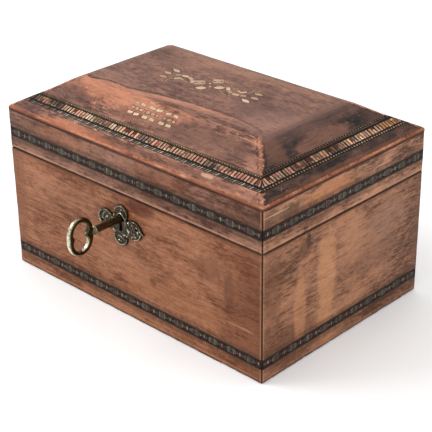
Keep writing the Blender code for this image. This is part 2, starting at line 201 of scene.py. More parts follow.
class Graph:
    """A material's node tree, with short calls for the nodes it is made from. Places are in millimetres."""

    def __init__(self, name):
        self.material = bpy.data.materials.new(name)
        self.material.use_nodes = True
        self.tree = self.material.node_tree
        self.tree.nodes.clear()
        out = self.add("ShaderNodeOutputMaterial")
        self.shader = self.add("ShaderNodeBsdfPrincipled")
        self.tree.links.new(self.shader.outputs[0], out.inputs[0])
        self.p = self.vector("SCALE", self.add("ShaderNodeTexCoord").outputs["Object"], scale=1000.0)
        self.axes = None

    def add(self, kind, **settings):
        node = self.tree.nodes.new(kind)
        for key, value in settings.items():
            setattr(node, key, value)
        return node

    def put(self, socket, value):
        if isinstance(value, bpy.types.NodeSocket):
            self.tree.links.new(value, socket)
        elif isinstance(value, (tuple, list)):
            wanted = len(socket.default_value)
            socket.default_value = tuple(value) + (1.0,) * (wanted - len(value))
        else:
            socket.default_value = value

    def math(self, operation, a, b=None, c=None, clamp=False):
        node = self.add("ShaderNodeMath", operation=operation, use_clamp=clamp)
        for socket, value in zip(node.inputs, (a, b, c)):
            if value is not None:
                self.put(socket, value)
        return node.outputs[0]

    def vector(self, operation, a, b=None, scale=None):
        node = self.add("ShaderNodeVectorMath", operation=operation)
        self.put(node.inputs[0], a)
        if b is not None:
            self.put(node.inputs[1], b)
        if scale is not None:
            self.put(node.inputs["Scale"], scale)
        return node.outputs["Value"] if operation in ("LENGTH", "DOT_PRODUCT", "DISTANCE") else node.outputs["Vector"]

    def xyz(self):
        if self.axes is None:
            node = self.add("ShaderNodeSeparateXYZ")
            self.put(node.inputs[0], self.p)
            self.axes = node.outputs[0], node.outputs[1], node.outputs[2]
        return self.axes

    def turned(self, degrees, axis):
        node = self.add("ShaderNodeVectorRotate", rotation_type="AXIS_ANGLE")
        self.put(node.inputs["Vector"], self.p)
        node.inputs["Axis"].default_value = axis
        node.inputs["Angle"].default_value = math.radians(degrees)
        return node.outputs[0]

    def noise(self, place, size, detail=2.0, rough=0.5, distort=0.0, shift=(0.0, 0.0, 0.0)):
        if any(shift):
            place = self.vector("ADD", place, shift)
        node = self.add("ShaderNodeTexNoise")
        self.put(node.inputs["Vector"], place)
        node.inputs["Scale"].default_value = 1.0 / size
        node.inputs["Detail"].default_value = detail
        node.inputs["Roughness"].default_value = rough
        node.inputs["Distortion"].default_value = distort
        return node.outputs["Fac"]

    def step(self, value, low, high, first=0.0, last=1.0):
        node = self.add("ShaderNodeMapRange", interpolation_type="SMOOTHSTEP")
        for key, item in (("Value", value), ("From Min", low), ("From Max", high), ("To Min", first), ("To Max", last)):
            self.put(node.inputs[key], item)
        return node.outputs[0]

    def mix(self, amount, a, b, blend="MIX"):
        node = self.add("ShaderNodeMix", data_type="RGBA", blend_type=blend, clamp_factor=True)
        self.put(node.inputs[0], amount)
        self.put(node.inputs[6], a)
        self.put(node.inputs[7], b)
        return node.outputs[2]

    def ramp(self, value, stops):
        node = self.add("ShaderNodeValToRGB")
        self.put(node.inputs[0], value)
        points = node.color_ramp.elements
        while len(points) < len(stops):
            points.new(0.5)
        for point, (position, colour) in zip(points, stops):
            point.position = position
            point.color = tuple(colour) + (1.0,)
        return node.outputs[0]

    def patch(self, centre, radii, ragged=0.35, soft=0.45, size=5.0, seed=0.0):
        """1 inside an uneven ellipsoid, falling to 0 at its edge."""
        away = self.vector("LENGTH", self.vector("DIVIDE", self.vector("SUBTRACT", self.p, centre), radii))
        wobble = self.math("SUBTRACT", self.noise(self.p, size, 3.0, 0.6, 0.0, (seed * 7.3, seed * 3.1, 5.0)), 0.5)
        away = self.math("ADD", away, self.math("MULTIPLY", wobble, ragged * 4))
        return self.step(away, 1.0 + soft / 2, 1.0 - soft / 2)

    def line(self, axis, at, half, soft=0.3):
        """1 on a plane across an axis, and 0 beyond its half width."""
        away = self.math("ABSOLUTE", self.math("SUBTRACT", self.xyz()[axis], at))
        return self.step(away, half + soft, half)

    def finish(self, colour, roughness, height=None, bump=0.0, **sockets):
        self.put(self.shader.inputs["Base Color"], colour)
        self.put(self.shader.inputs["Roughness"], roughness)
        if height is not None:
            node = self.add("ShaderNodeBump")
            self.put(node.inputs["Height"], height)
            node.inputs["Strength"].default_value = 1.0
            node.inputs["Distance"].default_value = bump * MM
            self.put(self.shader.inputs["Normal"], node.outputs[0])
        for key, value in sockets.items():
            self.shader.inputs[key.replace("_", " ")].default_value = value
        return self.material


def wood(name, grain, dark, mid, light, worn, seed, clouds=26.0, cloud_mix=1.0, streaks=1.0, mottle=1.0, pores=0.6, rub=0.4, stain=0.5, scratch=0.6, flecks=0.6, spots=(), lines=(), rough=0.5, cloud_stretch=0.55, hips=0.0, crack=False):
    """Old polished wood. grain is the axis that the fibres follow, 0, 1 or 2. spots are (centre, radii, colour, strength, options), and lines are (axis, at, half, colour, strength, softness)."""
    g = Graph(name)
    soot = tuple(c * 0.25 for c in dark)

    def along(amount):
        return g.vector("MULTIPLY", g.p, tuple(amount if i == grain else 1.0 for i in range(3)))

    shift = (seed * 13.7, seed * 5.9, seed * 9.1)
    fibres = along(0.07)
    wide = along(cloud_stretch)
    cloud = g.noise(wide, clouds, 5.0, 0.62, 0.4, shift)
    patchy = g.noise(along(0.34), 4.2, 5.0, 0.70, 0.1, shift)
    grit = g.noise(along(0.24), 1.15, 3.0, 0.7, 0.0, (seed * 4.0, 2.0, seed * 6.0))
    figure = g.noise(fibres, 1.7, 4.0, 0.66, 0.25, shift)

    def swing(value, amount):
        return g.math("MULTIPLY", g.math("SUBTRACT", value, 0.5), amount)

    blend = g.math("ADD", g.math("ADD", swing(cloud, 1.7 * cloud_mix), swing(patchy, 0.85 * mottle)), g.math("ADD", swing(figure, 0.95 * streaks), swing(grit, 0.95)))
    colour = g.ramp(g.math("ADD", blend, 0.5, clamp=True), ((0.05, tuple(c * 0.62 for c in dark)), (0.28, dark), (0.52, mid), (0.82, light)))
    # Short dark pores along the fibres, and dark flecks of old dirt.
    pore = g.step(g.noise(along(0.22), 0.85, 2.0, 0.5, 0.0, shift), 0.60, 0.70)
    fibre = g.noise(fibres, 0.6, 2.0, 0.5, 0.0, shift)
    colour = g.mix(g.math("MULTIPLY", pore, pores * 0.55), colour, soot)
    fleck = g.step(g.noise(along(0.5), 1.5, 4.0, 0.72, 0.3, (seed * 2.0, 71.0, seed)), 0.62, 0.72)
    colour = g.mix(g.math("MULTIPLY", fleck, flecks * 0.7), colour, tuple(c * 0.42 for c in dark))
    # Rubbed places, old dark stains and small specks.
    brightened = g.step(g.noise(along(0.6), 9.0, 6.0, 0.72, 0.4, (seed * 3.0, 40.0, seed)), 0.52, 0.74)
    colour = g.mix(g.math("MULTIPLY", brightened, rub), colour, worn)
    stained = g.step(g.noise(wide, 16.0, 6.0, 0.70, 0.5, (90.0, seed * 2.0, seed * 4.0)), 0.52, 0.76)
    colour = g.mix(g.math("MULTIPLY", stained, stain * 0.75), colour, tuple(c * 0.7 for c in dark))
    pale_speck = g.step(g.noise(g.p, 1.3, 3.0, 0.65, 0.0, (3.0, seed * 17.0, seed)), 0.64, 0.74)
    colour = g.mix(g.math("MULTIPLY", pale_speck, 0.45), colour, tuple(min(1.0, c * 1.15) for c in worn))
    # Scratches in slanting directions, pale with bare wood, or dark with dirt.
    marks = dirty = None
    for k, angle in enumerate((17.0, -31.0, 6.0)):
        axis = ((0, 1, 0), (1, 0, 0), (0, 0, 1))[grain]
        turned = g.turned(angle, (0, 0, 1) if hips or crack else axis)
        lay = g.vector("MULTIPLY", turned, tuple(0.035 if i == grain else 1.0 for i in range(3)))
        hair = g.math("ABSOLUTE", g.math("SUBTRACT", g.noise(lay, 3.0, 2.0, 0.5, 0.0, (seed * 2.0 + k * 31.0, 7.0, 3.0)), 0.5))
        where = g.step(g.noise(g.p, 12.0, 3.0, 0.6, 0.0, (k * 19.0, seed, 2.0)), 0.54, 0.68)
        one = g.math("MULTIPLY", g.step(hair, 0.020, 0.006), where)
        if k == 2:
            dirty = one
        else:
            marks = one if marks is None else g.math("MAXIMUM", marks, one)
    colour = g.mix(g.math("MULTIPLY", marks, scratch), colour, tuple(min(1.0, c * 1.2) for c in worn))
    colour = g.mix(g.math("MULTIPLY", dirty, scratch * 0.8), colour, tuple(c * 0.4 for c in dark))
    for spot in spots:
        centre, radii, paint, strength = spot[:4]
        options = spot[4] if len(spot) > 4 else {}
        here = g.patch(centre, radii, **options)
        # The wood's own figure still shows through a patch.
        keep = g.step(g.math("ADD", g.math("MULTIPLY", figure, 0.5), g.math("MULTIPLY", patchy, 0.5)), 0.3, 0.7, 0.55, 1.2)
        here = g.math("MULTIPLY", g.math("MULTIPLY", here, keep), strength, clamp=True)
        inner = g.mix(g.math("MULTIPLY", g.math("SUBTRACT", 1.0, fleck), 0.85), colour, paint)
        inner = g.mix(g.math("MULTIPLY", pore, pores * 0.5), inner, soot)
        colour = g.mix(here, colour, inner)
    if hips:
        # Bare wood along the hips, with a thin dark line beside it.
        x, y, _ = g.xyz()
        sx = g.math("DIVIDE", g.math("SUBTRACT", WIDTH / 2, g.math("ABSOLUTE", x)), INSET_X)
        sy = g.math("DIVIDE", g.math("SUBTRACT", DEPTH / 2, g.math("ABSOLUTE", y)), INSET_Y)
        away = g.math("MULTIPLY", g.math("ABSOLUTE", g.math("SUBTRACT", sx, sy)), 26.0)
        ragged = g.math("ADD", away, swing(g.noise(g.p, 3.4, 4.0, 0.7, 0.0, (seed, 5.0, 60.0)), 6.5))
        bare = g.math("MULTIPLY", g.step(ragged, 1.5, 0.2), hips)
        chips = g.step(g.noise(g.p, 2.2, 3.0, 0.65, 0.0, (seed, 25.0, 6.0)), 0.42, 0.62)
        colour = g.mix(bare, colour, g.mix(chips, tone(150, 96, 76), tone(206, 150, 122)))
        edge = g.math("ABSOLUTE", g.math("SUBTRACT", ragged, 2.1))
        broken = g.step(g.noise(g.p, 3.0, 3.0, 0.6, 0.0, (seed, 15.0, 6.0)), 0.36, 0.54)
        colour = g.mix(g.math("MULTIPLY", g.math("MULTIPLY", g.step(edge, 0.9, 0.3), broken), 0.65), colour, soot)
    if crack:
        side = g.add("ShaderNodeAttribute", attribute_name="crack").outputs["Fac"]
        wavy = g.math("ADD", side, swing(g.noise(along(0.5), 2.6, 4.0, 0.7, 0.0, (seed, 8.0, 8.0)), 3.0))
        fading = g.step(g.math("ADD", g.xyz()[0], swing(g.noise(g.p, 12.0, 3.0, 0.6), 30.0)), 62.0, 22.0)
        band = g.math("MULTIPLY", g.math("MULTIPLY", g.step(wavy, -9.5, -4.5), g.step(wavy, 0.3, -0.6)), fading)
        colour = g.mix(g.math("MULTIPLY", band, g.step(patchy, 0.35, 0.65, 0.45, 0.85)), colour, tone(196, 136, 110))
        # A dark line along the crack, darkest right at it: painted shade in and along the crack.
        dark_line = g.step(g.math("ABSOLUTE", wavy), 1.35, 0.35)
        broken = g.step(g.noise(g.p, 5.0, 3.0, 0.6, 0.0, (seed, 3.0, 16.0)), 0.30, 0.50)
        colour = g.mix(g.math("MULTIPLY", g.math("MULTIPLY", g.math("MULTIPLY", dark_line, broken), g.math("MAXIMUM", fading, 0.35)), 0.85), colour, tone(74, 46, 38))
        colour = g.mix(g.math("MULTIPLY", g.step(g.math("ABSOLUTE", side), 0.5, 0.3), 0.5), colour, tone(60, 38, 32))
    for item in lines:
        axis, at, half, paint, strength = item[:5]
        soft = item[5] if len(item) > 5 else 0.3
        breaks = item[6] if len(item) > 6 else 0.35
        broken = g.step(g.noise(g.p, 4.0, 4.0, 0.65, 0.0, (axis * 5.0, at, seed)), 0.30, 0.56, 1.0 - breaks, 1.0)
        here = g.math("MULTIPLY", g.math("MULTIPLY", g.line(axis, at, half, soft), broken), strength)
        colour = g.mix(here, colour, paint)
    shade = g.noise(g.p, 7.0, 3.0, 0.6, 0.0, (seed, seed, 50.0))
    roughness = g.math("ADD", rough - 0.10, g.math("MULTIPLY", shade, 0.22))
    roughness = g.math("ADD", roughness, g.math("MULTIPLY", brightened, 0.10))
    roughness = g.math("ADD", roughness, g.math("MULTIPLY", pore, 0.15), clamp=True)
    height = g.math("SUBTRACT", g.math("MULTIPLY", fibre, 0.4), g.math("MULTIPLY", pore, 0.9))
    height = g.math("SUBTRACT", height, g.math("MULTIPLY", g.math("MAXIMUM", marks, dirty), 0.6))
    height = g.math("SUBTRACT", height, g.math("MULTIPLY", fleck, 0.5))
    height = g.math("ADD", height, g.math("MULTIPLY", g.noise(g.p, 2.6, 3.0, 0.6, 0.0, shift), 1.4))
    material = g.finish(colour, roughness, height, 0.07)
    g.shader.inputs["Specular IOR Level"].default_value = 0.22
    return material


def metal(name, dark, mid, bright, seed, rough=0.32, grime=0.5, wear_and_highlight_at=None, patches=3.6):
    """Aged brass or steel: dark in its hollows, mottled, scratched, and brighter where it is worn. Given a painted
    highlight mask, as the key is, its brightest colour is a painted highlight and the darkening where the mask is low
    is painted shade.
    """
    g = Graph(name)
    shift = (seed * 7.0, seed * 3.0, seed)
    patina = g.noise(g.p, patches, 4.0, 0.6, 0.2, shift)
    colour = g.ramp(patina, ((0.22, dark), (0.52, mid), (0.86, bright)))
    pits = g.step(g.noise(g.p, 0.7, 2.0, 0.6, 0.0, shift), 0.62, 0.72)
    colour = g.mix(g.math("MULTIPLY", pits, grime), colour, tuple(c * 0.35 for c in dark))
    lay = g.vector("MULTIPLY", g.turned(33.0, (1, 0.4, 0.2)), (0.05, 1.0, 1.0))
    hair = g.step(g.math("ABSOLUTE", g.math("SUBTRACT", g.noise(lay, 1.6, 1.0, 0.4, 0.0, shift), 0.5)), 0.02, 0.004)
    colour = g.mix(g.math("MULTIPLY", hair, 0.35), colour, bright)
    roughness = g.math("ADD", rough, g.math("MULTIPLY", g.math("SUBTRACT", g.noise(g.p, 2.1, 3.0, 0.6, 0.0, shift), 0.5), 0.30))
    roughness = g.math("ADD", roughness, g.math("MULTIPLY", pits, 0.25), clamp=True)
    height = g.math("SUBTRACT", g.math("MULTIPLY", g.noise(g.p, 1.1, 3.0, 0.6, 0.0, shift), 0.9), g.math("MULTIPLY", pits, 0.5))
    height = g.math("SUBTRACT", height, g.math("MULTIPLY", hair, 0.25))
    # On the escutcheon the mask holds the height of the relief: high places are worn bright and hollows hold dark
    # patina. On the key it is a painted highlight mask: where it is high the colour is a painted highlight, and where
    # it is low the brass is darkened as painted shade.
    if wear_and_highlight_at is not None:
        low, high, paint = wear_and_highlight_at
        node = g.add("ShaderNodeAttribute", attribute_name="wear_and_highlight")
        edge = g.math("MULTIPLY", g.step(node.outputs["Fac"], low, high), g.step(g.noise(g.p, 2.4, 3.0, 0.6, 0.0, (4.0, seed, 9.0)), 0.3, 0.6))
        colour = g.mix(edge, colour, paint)
        patina_and_shade = g.step(node.outputs["Fac"], low * 0.7, 0.05)
        colour = g.mix(g.math("MULTIPLY", patina_and_shade, 0.7), colour, tuple(c * 0.4 for c in dark))
        roughness = g.math("SUBTRACT", roughness, g.math("MULTIPLY", edge, 0.12), clamp=True)
    material = g.finish(colour, roughness, height, 0.05)
    g.shader.inputs["Metallic"].default_value = 1.0
    return material


def inlay(name, seed, dirt=0.45, rough=0.5, wear=(120, 84, 66)):
    """Small pieces of wood, bone and stained veneer. Each has its own tint, under the same dirt and wear."""
    g = Graph(name)
    tint = g.add("ShaderNodeAttribute", attribute_name="tint").outputs["Color"]
    grain = g.noise(g.vector("MULTIPLY", g.p, (1.0, 1.0, 0.5)), 0.5, 3.0, 0.6, 0.0, (seed, 0.0, 0.0))
    colour = g.mix(g.step(grain, 0.35, 0.75, 0.0, 0.45), tint, g.mix(1.0, tint, (0.42, 0.38, 0.34), "MULTIPLY"))
    grime = g.step(g.noise(g.p, 5.0, 5.0, 0.7, 0.3, (9.0, seed * 3.0, 1.0)), 0.44, 0.66)
    colour = g.mix(g.math("MULTIPLY", grime, dirt), colour, tone(64, 50, 44))
    bare = g.step(g.noise(g.p, 8.0, 4.0, 0.66, 0.3, (seed, 30.0, 2.0)), 0.58, 0.72)
    colour = g.mix(g.math("MULTIPLY", bare, 0.35), colour, tone(*wear))
    speck = g.step(g.noise(g.p, 0.6, 2.0, 0.5, 0.0, (seed, 0.0, 4.0)), 0.62, 0.70)
    colour = g.mix(g.math("MULTIPLY", speck, 0.5), colour, tone(44, 34, 30))
    roughness = g.math("ADD", rough - 0.1, g.math("MULTIPLY", g.noise(g.p, 2.0, 3.0, 0.6), 0.25))
    height = g.math("SUBTRACT", g.math("MULTIPLY", grain, 0.6), speck)
    material = g.finish(colour, roughness, height, 0.05)
    g.shader.inputs["Specular IOR Level"].default_value = 0.12
    return material


def wall_wood(name, seed, grain, pale=1.0):
    """Plain wood that was never polished, as on the inside faces and the edges."""
    k = pale
    return wood(name, grain, tone(92 * k, 64 * k, 47 * k), tone(128 * k, 92 * k, 69 * k), tone(152 * k, 114 * k, 87 * k), tone(160 * k, 124 * k, 97 * k), seed, clouds=34.0, rough=0.66, rub=0.2, stain=0.4, scratch=0.3, flecks=0.4)


# Reddish brown of the case, in display values.
DARK, MID, LIGHT, WORN = tone(108, 68, 50), tone(150, 101, 78), tone(180, 128, 101), tone(188, 136, 108)
EDGE_DARK, JOINT = tone(66, 46, 38), tone(42, 30, 26)
WIDE = 60.0


def near_band(z, strength=0.55):
    """Wood darkened by dirt above and below an inlaid band."""
    return ((2, z - 4.6, 1.0, tone(86, 62, 52), strength, 2.2, 0.7), (2, z + 4.6, 1.0, tone(86, 62, 52), strength, 2.2, 0.7))


PARTING_BELOW = ((2, 88.35, 0.34, JOINT, 1.0, 0.3, 0.05), (2, 87.2, 0.5, tone(120, 76, 58), 0.5, 0.8, 0.6))
PARTING_ABOVE = ((2, 89.15, 0.42, JOINT, 1.0, 0.3, 0.05), (2, 90.5, 0.35, tone(188, 138, 112), 0.7, 0.5, 0.8))
# Along the foot of each board: a dark line at the very bottom and a pale line a little above it.
FOOT = ((2, 0.3, 0.6, EDGE_DARK, 0.85, 1.0, 0.5), (2, 2.4, 0.5, tone(184, 130, 102), 0.35, 0.8, 0.9))
PANEL_JOINT = (2, 116.5, 0.4, tone(78, 44, 34), 0.9, 0.5, 0.3)
END_FRONT = ((0, 114.9, 0.55, JOINT, 0.95, 0.3, 0.3), (0, 113.6, 0.35, tone(172, 122, 97), 0.5, 0.4, 0.9), (0, -114.9, 0.5, EDGE_DARK, 0.7, 0.5, 0.4))
END_RIGHT = ((1, -77.9, 0.55, JOINT, 0.95, 0.3, 0.3), (1, -76.7, 0.35, tone(180, 128, 100), 0.6, 0.4, 0.8), (1, 77.9, 0.5, EDGE_DARK, 0.7, 0.5, 0.4))

case_front = wood(
    "wood_case_front", 0, tone(108, 69, 51), tone(146, 99, 75), tone(172, 121, 94), tone(184, 132, 104), 1.0, clouds=34.0, cloud_mix=0.75, mottle=0.7, scratch=0.22, rub=0.25, stain=0.35, flecks=0.45,
    spots=(
        ((116.0, FRONT, 44.0), (32.0, WIDE, 54.0), tone(104, 68, 52), 0.72, {"ragged": 0.22, "soft": 1.0, "size": 14.0, "seed": 1.0}),
        ((12.5, FRONT, 84.0), (11.5, WIDE, 4.8), tone(84, 46, 33), 0.9, {"ragged": 0.25, "soft": 0.7, "size": 4.0, "seed": 2.0}),
        ((-111.0, FRONT, 60.0), (8.0, WIDE, 50.0), tone(122, 82, 63), 0.6, {"ragged": 0.2, "soft": 0.9, "size": 9.0, "seed": 3.0}),
        ((70.0, FRONT, 63.0), (12.0, WIDE, 9.0), tone(96, 64, 50), 0.6, {"ragged": 0.4, "soft": 0.8, "size": 6.0, "seed": 4.0}),
        ((38.0, FRONT, 30.0), (40.0, WIDE, 11.0), tone(172, 118, 88), 0.6, {"ragged": 0.35, "soft": 0.8, "size": 9.0, "seed": 5.0}),
        ((-60.0, FRONT, 70.0), (36.0, WIDE, 10.0), tone(176, 124, 98), 0.5, {"ragged": 0.35, "soft": 0.9, "size": 9.0, "seed": 5.5}),
        ((22.0, FRONT, 35.5), (3.2, WIDE, 3.0), tone(98, 66, 50), 0.8, {"ragged": 0.3, "soft": 0.7, "size": 3.0, "seed": 5.7}),
        ((88.0, FRONT, 52.0), (4.0, WIDE, 16.0), tone(92, 62, 50), 0.6, {"ragged": 0.3, "soft": 0.9, "size": 5.0, "seed": 5.8}),
        ((96.0, FRONT, 33.0), (11.0, WIDE, 0.9), tone(196, 144, 112), 0.6, {"ragged": 0.2, "soft": 0.7, "size": 4.0, "seed": 5.9}),
    ),
    lines=near_band(13.4) + PARTING_BELOW + FOOT + END_FRONT,
)
case_right = wood(
    "wood_case_right", 1, tone(94, 66, 52), tone(148, 106, 85), tone(178, 128, 97), tone(186, 134, 100), 2.0, clouds=32.0, cloud_mix=0.68, mottle=0.75, scratch=0.25, flecks=0.55,
    spots=(
        ((115.0, -54.0, 16.0), (WIDE, 28.0, 15.0), tone(104, 72, 56), 0.75, {"ragged": 0.3, "soft": 0.9, "size": 12.0, "seed": 6.0}),
        ((115.0, -70.0, 60.0), (WIDE, 9.0, 26.0), tone(116, 80, 60), 0.65, {"ragged": 0.3, "soft": 0.9, "size": 7.0, "seed": 7.0}),
        ((115.0, -43.5, 36.0), (WIDE, 5.2, 27.0), tone(190, 135, 99), 0.78, {"ragged": 0.25, "soft": 0.5, "size": 8.0, "seed": 8.0}),
        ((115.0, -18.5, 48.0), (WIDE, 8.6, 36.0), tone(200, 145, 107), 0.84, {"ragged": 0.34, "soft": 0.62, "size": 7.0, "seed": 9.0}),
        ((115.0, 6.0, 66.0), (WIDE, 13.0, 17.0), tone(186, 136, 104), 0.6, {"ragged": 0.3, "soft": 0.8, "size": 9.0, "seed": 10.0}),
        # A small very dark mark just below the parting line: painted shade of a small notch, which is not cut.
        ((115.0, -36.5, 82.6), (WIDE, 2.3, 5.2), tone(34, 22, 18), 1.0, {"ragged": 0.15, "soft": 0.35, "size": 2.0, "seed": 11.0}),
        ((115.0, -39.5, 78.0), (WIDE, 5.5, 6.5), tone(98, 70, 54), 0.75, {"ragged": 0.3, "soft": 0.9, "size": 4.0, "seed": 12.0}),
        ((115.0, 30.0, 46.0), (WIDE, 24.0, 9.0), tone(122, 90, 76), 0.6, {"ragged": 0.4, "soft": 0.9, "size": 8.0, "seed": 13.0}),
        ((115.0, 40.0, 66.0), (WIDE, 22.0, 12.0), tone(158, 120, 102), 0.6, {"ragged": 0.4, "soft": 0.9, "size": 8.0, "seed": 13.5}),
        ((115.0, 76.0, 40.0), (WIDE, 5.0, 44.0), tone(120, 88, 74), 0.6, {"ragged": 0.2, "soft": 0.9, "size": 8.0, "seed": 14.0}),
    ),
    lines=near_band(13.4) + PARTING_BELOW + FOOT + END_RIGHT,
)
plain_back = near_band(13.4, 0.4) + PARTING_BELOW + FOOT
case_back = wood("wood_case_back", 0, DARK, tone(144, 98, 75), tone(170, 121, 96), WORN, 3.0, clouds=34.0, mottle=0.8, scratch=0.3, lines=plain_back)
case_left = wood("wood_case_left", 1, DARK, tone(144, 98, 75), tone(170, 121, 96), WORN, 4.0, clouds=34.0, mottle=0.8, scratch=0.3, lines=plain_back)
rim_front = wood(
    "wood_rim_front", 0, tone(84, 60, 50), tone(127, 94, 81), tone(158, 116, 97), tone(166, 118, 96), 5.0, clouds=22.0, mottle=1.1, scratch=0.35,
    spots=(
        ((-62.0, FRONT, 110.0), (34.0, WIDE, 5.0), tone(158, 108, 82), 0.7, {"ragged": 0.4, "soft": 0.9, "size": 7.0, "seed": 15.0}),
        ((30.0, FRONT, 111.0), (30.0, WIDE, 4.0), tone(142, 92, 70), 0.6, {"ragged": 0.4, "soft": 0.9, "size": 7.0, "seed": 16.0}),
        ((-100.0, FRONT, 103.0), (20.0, WIDE, 10.0), tone(86, 70, 63), 0.5, {"ragged": 0.3, "soft": 1.0, "size": 8.0, "seed": 16.7}),
        ((100.0, FRONT, 108.0), (22.0, WIDE, 9.0), tone(92, 62, 50), 0.5, {"ragged": 0.4, "soft": 0.9, "size": 7.0, "seed": 16.5}),
    ),
    lines=near_band(100.9, 0.6) + (PANEL_JOINT,) + PARTING_ABOVE + END_FRONT,
)
rim_right = wood(
    "wood_rim_right", 1, tone(96, 69, 55), tone(157, 115, 93), tone(190, 139, 110), tone(184, 132, 98), 6.0, clouds=22.0, mottle=1.1, scratch=0.4,
    spots=(
        ((115.0, -18.0, 109.0), (WIDE, 22.0, 6.0), tone(190, 128, 90), 0.85, {"ragged": 0.4, "soft": 0.6, "size": 6.0, "seed": 17.0}),
        ((115.0, -54.0, 108.0), (WIDE, 10.0, 5.0), tone(82, 64, 50), 0.8, {"ragged": 0.4, "soft": 0.7, "size": 5.0, "seed": 18.0}),
        ((115.0, -71.0, 108.0), (WIDE, 8.0, 8.0), tone(100, 72, 57), 0.7, {"ragged": 0.3, "soft": 0.9, "size": 5.0, "seed": 19.0}),
        # A thin pale line near the top of the rim: a scratch with a painted glint along it.
        ((115.0, -66.0, 111.4), (WIDE, 11.0, 0.5), tone(196, 168, 148), 0.8, {"ragged": 0.12, "soft": 0.5, "size": 3.0, "seed": 19.2}),
        # A small very dark mark just above the parting line: painted shade of a small notch, which is not cut.
        ((115.0, -39.0, 92.0), (WIDE, 2.2, 3.2), tone(44, 30, 25), 0.95, {"ragged": 0.15, "soft": 0.4, "size": 2.0, "seed": 19.7}),
        ((115.0, -26.0, 94.0), (WIDE, 16.0, 2.4), tone(172, 120, 92), 0.6, {"ragged": 0.3, "soft": 0.7, "size": 5.0, "seed": 19.5}),
    ),
    lines=near_band(100.9, 0.6) + (PANEL_JOINT,) + PARTING_ABOVE + END_RIGHT,
)
plain_rim = near_band(100.9, 0.45) + (PANEL_JOINT,) + PARTING_ABOVE
rim_back = wood("wood_rim_back", 0, tone(86, 60, 48), tone(126, 91, 74), tone(154, 112, 92), WORN, 7.0, lines=plain_rim)
rim_left = wood("wood_rim_left", 1, tone(86, 60, 48), tone(126, 91, 74), tone(154, 112, 92), WORN, 8.0, lines=plain_rim)
inner_wood = wall_wood("wood_inside", 9.0, 0)
edge_wood = wall_wood("wood_edges", 10.0, 0, 0.82)
floor_wood = wall_wood("wood_bottom", 11.0, 0, 0.95)

ORANGE = tone(198, 122, 88)
slope_front = wood(
    "wood_slope_front", 0, tone(96, 69, 61), tone(154, 112, 97), tone(188, 134, 111), tone(204, 152, 128), 12.0, clouds=24.0, streaks=1.25, rough=0.5, scratch=1.0, mottle=1.3, flecks=1.0, hips=0.9,
    spots=(
        ((-38.0, -46.0, 136.0), (56.0, 8.5, WIDE), tone(204, 136, 106), 0.74, {"ragged": 0.5, "soft": 0.8, "size": 8.0, "seed": 20.0}),
        ((-78.0, -56.0, 130.0), (18.0, 9.0, WIDE), tone(92, 70, 66), 0.75, {"ragged": 0.4, "soft": 0.8, "size": 7.0, "seed": 21.0}),
        ((-20.0, -55.0, 132.0), (16.0, 5.0, WIDE), tone(92, 64, 56), 0.6, {"ragged": 0.5, "soft": 0.8, "size": 5.0, "seed": 22.0}),
        ((16.0, -56.0, 132.0), (20.0, 6.0, WIDE), tone(104, 76, 66), 0.6, {"ragged": 0.5, "soft": 0.8, "size": 5.0, "seed": 22.5}),
        ((52.0, -53.0, 130.0), (38.0, 9.0, WIDE), tone(106, 80, 72), 0.82, {"ragged": 0.4, "soft": 0.8, "size": 8.0, "seed": 23.0}),
        ((-46.0, -75.6, 119.6), (34.0, 1.8, WIDE), ORANGE, 0.9, {"ragged": 0.3, "soft": 0.7, "size": 6.0, "seed": 24.0}),
        ((34.0, -74.0, 121.0), (72.0, 2.2, WIDE), tone(112, 76, 62), 0.7, {"ragged": 0.25, "soft": 0.9, "size": 6.0, "seed": 25.0}),
        ((-98.0, -74.0, 121.0), (16.0, 3.6, WIDE), tone(84, 64, 60), 0.8, {"ragged": 0.25, "soft": 0.9, "size": 6.0, "seed": 25.5}),
        ((66.0, -72.6, 121.0), (5.0, 1.3, WIDE), tone(208, 164, 140), 0.9, {"ragged": 0.4, "soft": 0.6, "size": 2.5, "seed": 26.0}),
        ((83.0, -43.0, 135.0), (6.0, 4.6, WIDE), tone(208, 150, 120), 0.9, {"ragged": 0.4, "soft": 0.7, "size": 3.0, "seed": 27.0}),
    ),
    lines=((1, -77.0, 0.4, tone(160, 100, 76), 0.5, 0.7, 0.7),),
)
slope_right = wood(
    "wood_slope_right", 1, tone(52, 42, 40), tone(82, 65, 60), tone(106, 82, 74), tone(140, 102, 88), 13.0, clouds=24.0, streaks=0.75, rub=0.2, mottle=0.9, hips=0.9,
    spots=(
        ((97.0, -1.0, 128.0), (9.5, 25.0, WIDE), tone(138, 100, 86), 0.9, {"ragged": 0.3, "soft": 0.35, "size": 12.0, "seed": 28.0}),
        ((84.0, -4.0, 134.0), (5.0, 66.0, WIDE), tone(112, 86, 80), 0.7, {"ragged": 0.3, "soft": 1.0, "size": 8.0, "seed": 29.0}),
        ((98.0, 56.0, 128.0), (12.0, 17.0, WIDE), tone(116, 84, 74), 0.7, {"ragged": 0.3, "soft": 0.9, "size": 7.0, "seed": 29.5}),
        ((88.0, -40.0, 134.0), (9.0, 8.0, WIDE), tone(128, 92, 78), 0.7, {"ragged": 0.3, "soft": 0.9, "size": 5.0, "seed": 30.0}),
        ((113.1, 0.0, 120.0), (1.5, 84.0, WIDE), tone(132, 88, 66), 0.6, {"ragged": 0.3, "soft": 0.9, "size": 7.0, "seed": 31.0}),
    ),
    lines=((0, 79.0, 1.0, tone(132, 101, 92), 0.75, 3.4, 0.4),),
)
slope_back = wood("wood_slope_back", 0, tone(80, 58, 52), tone(130, 94, 81), tone(162, 114, 95), tone(180, 130, 106), 14.0, hips=0.8)
slope_left = wood("wood_slope_left", 1, tone(66, 50, 46), tone(106, 78, 69), tone(138, 100, 84), tone(168, 120, 98), 15.0, hips=0.8)
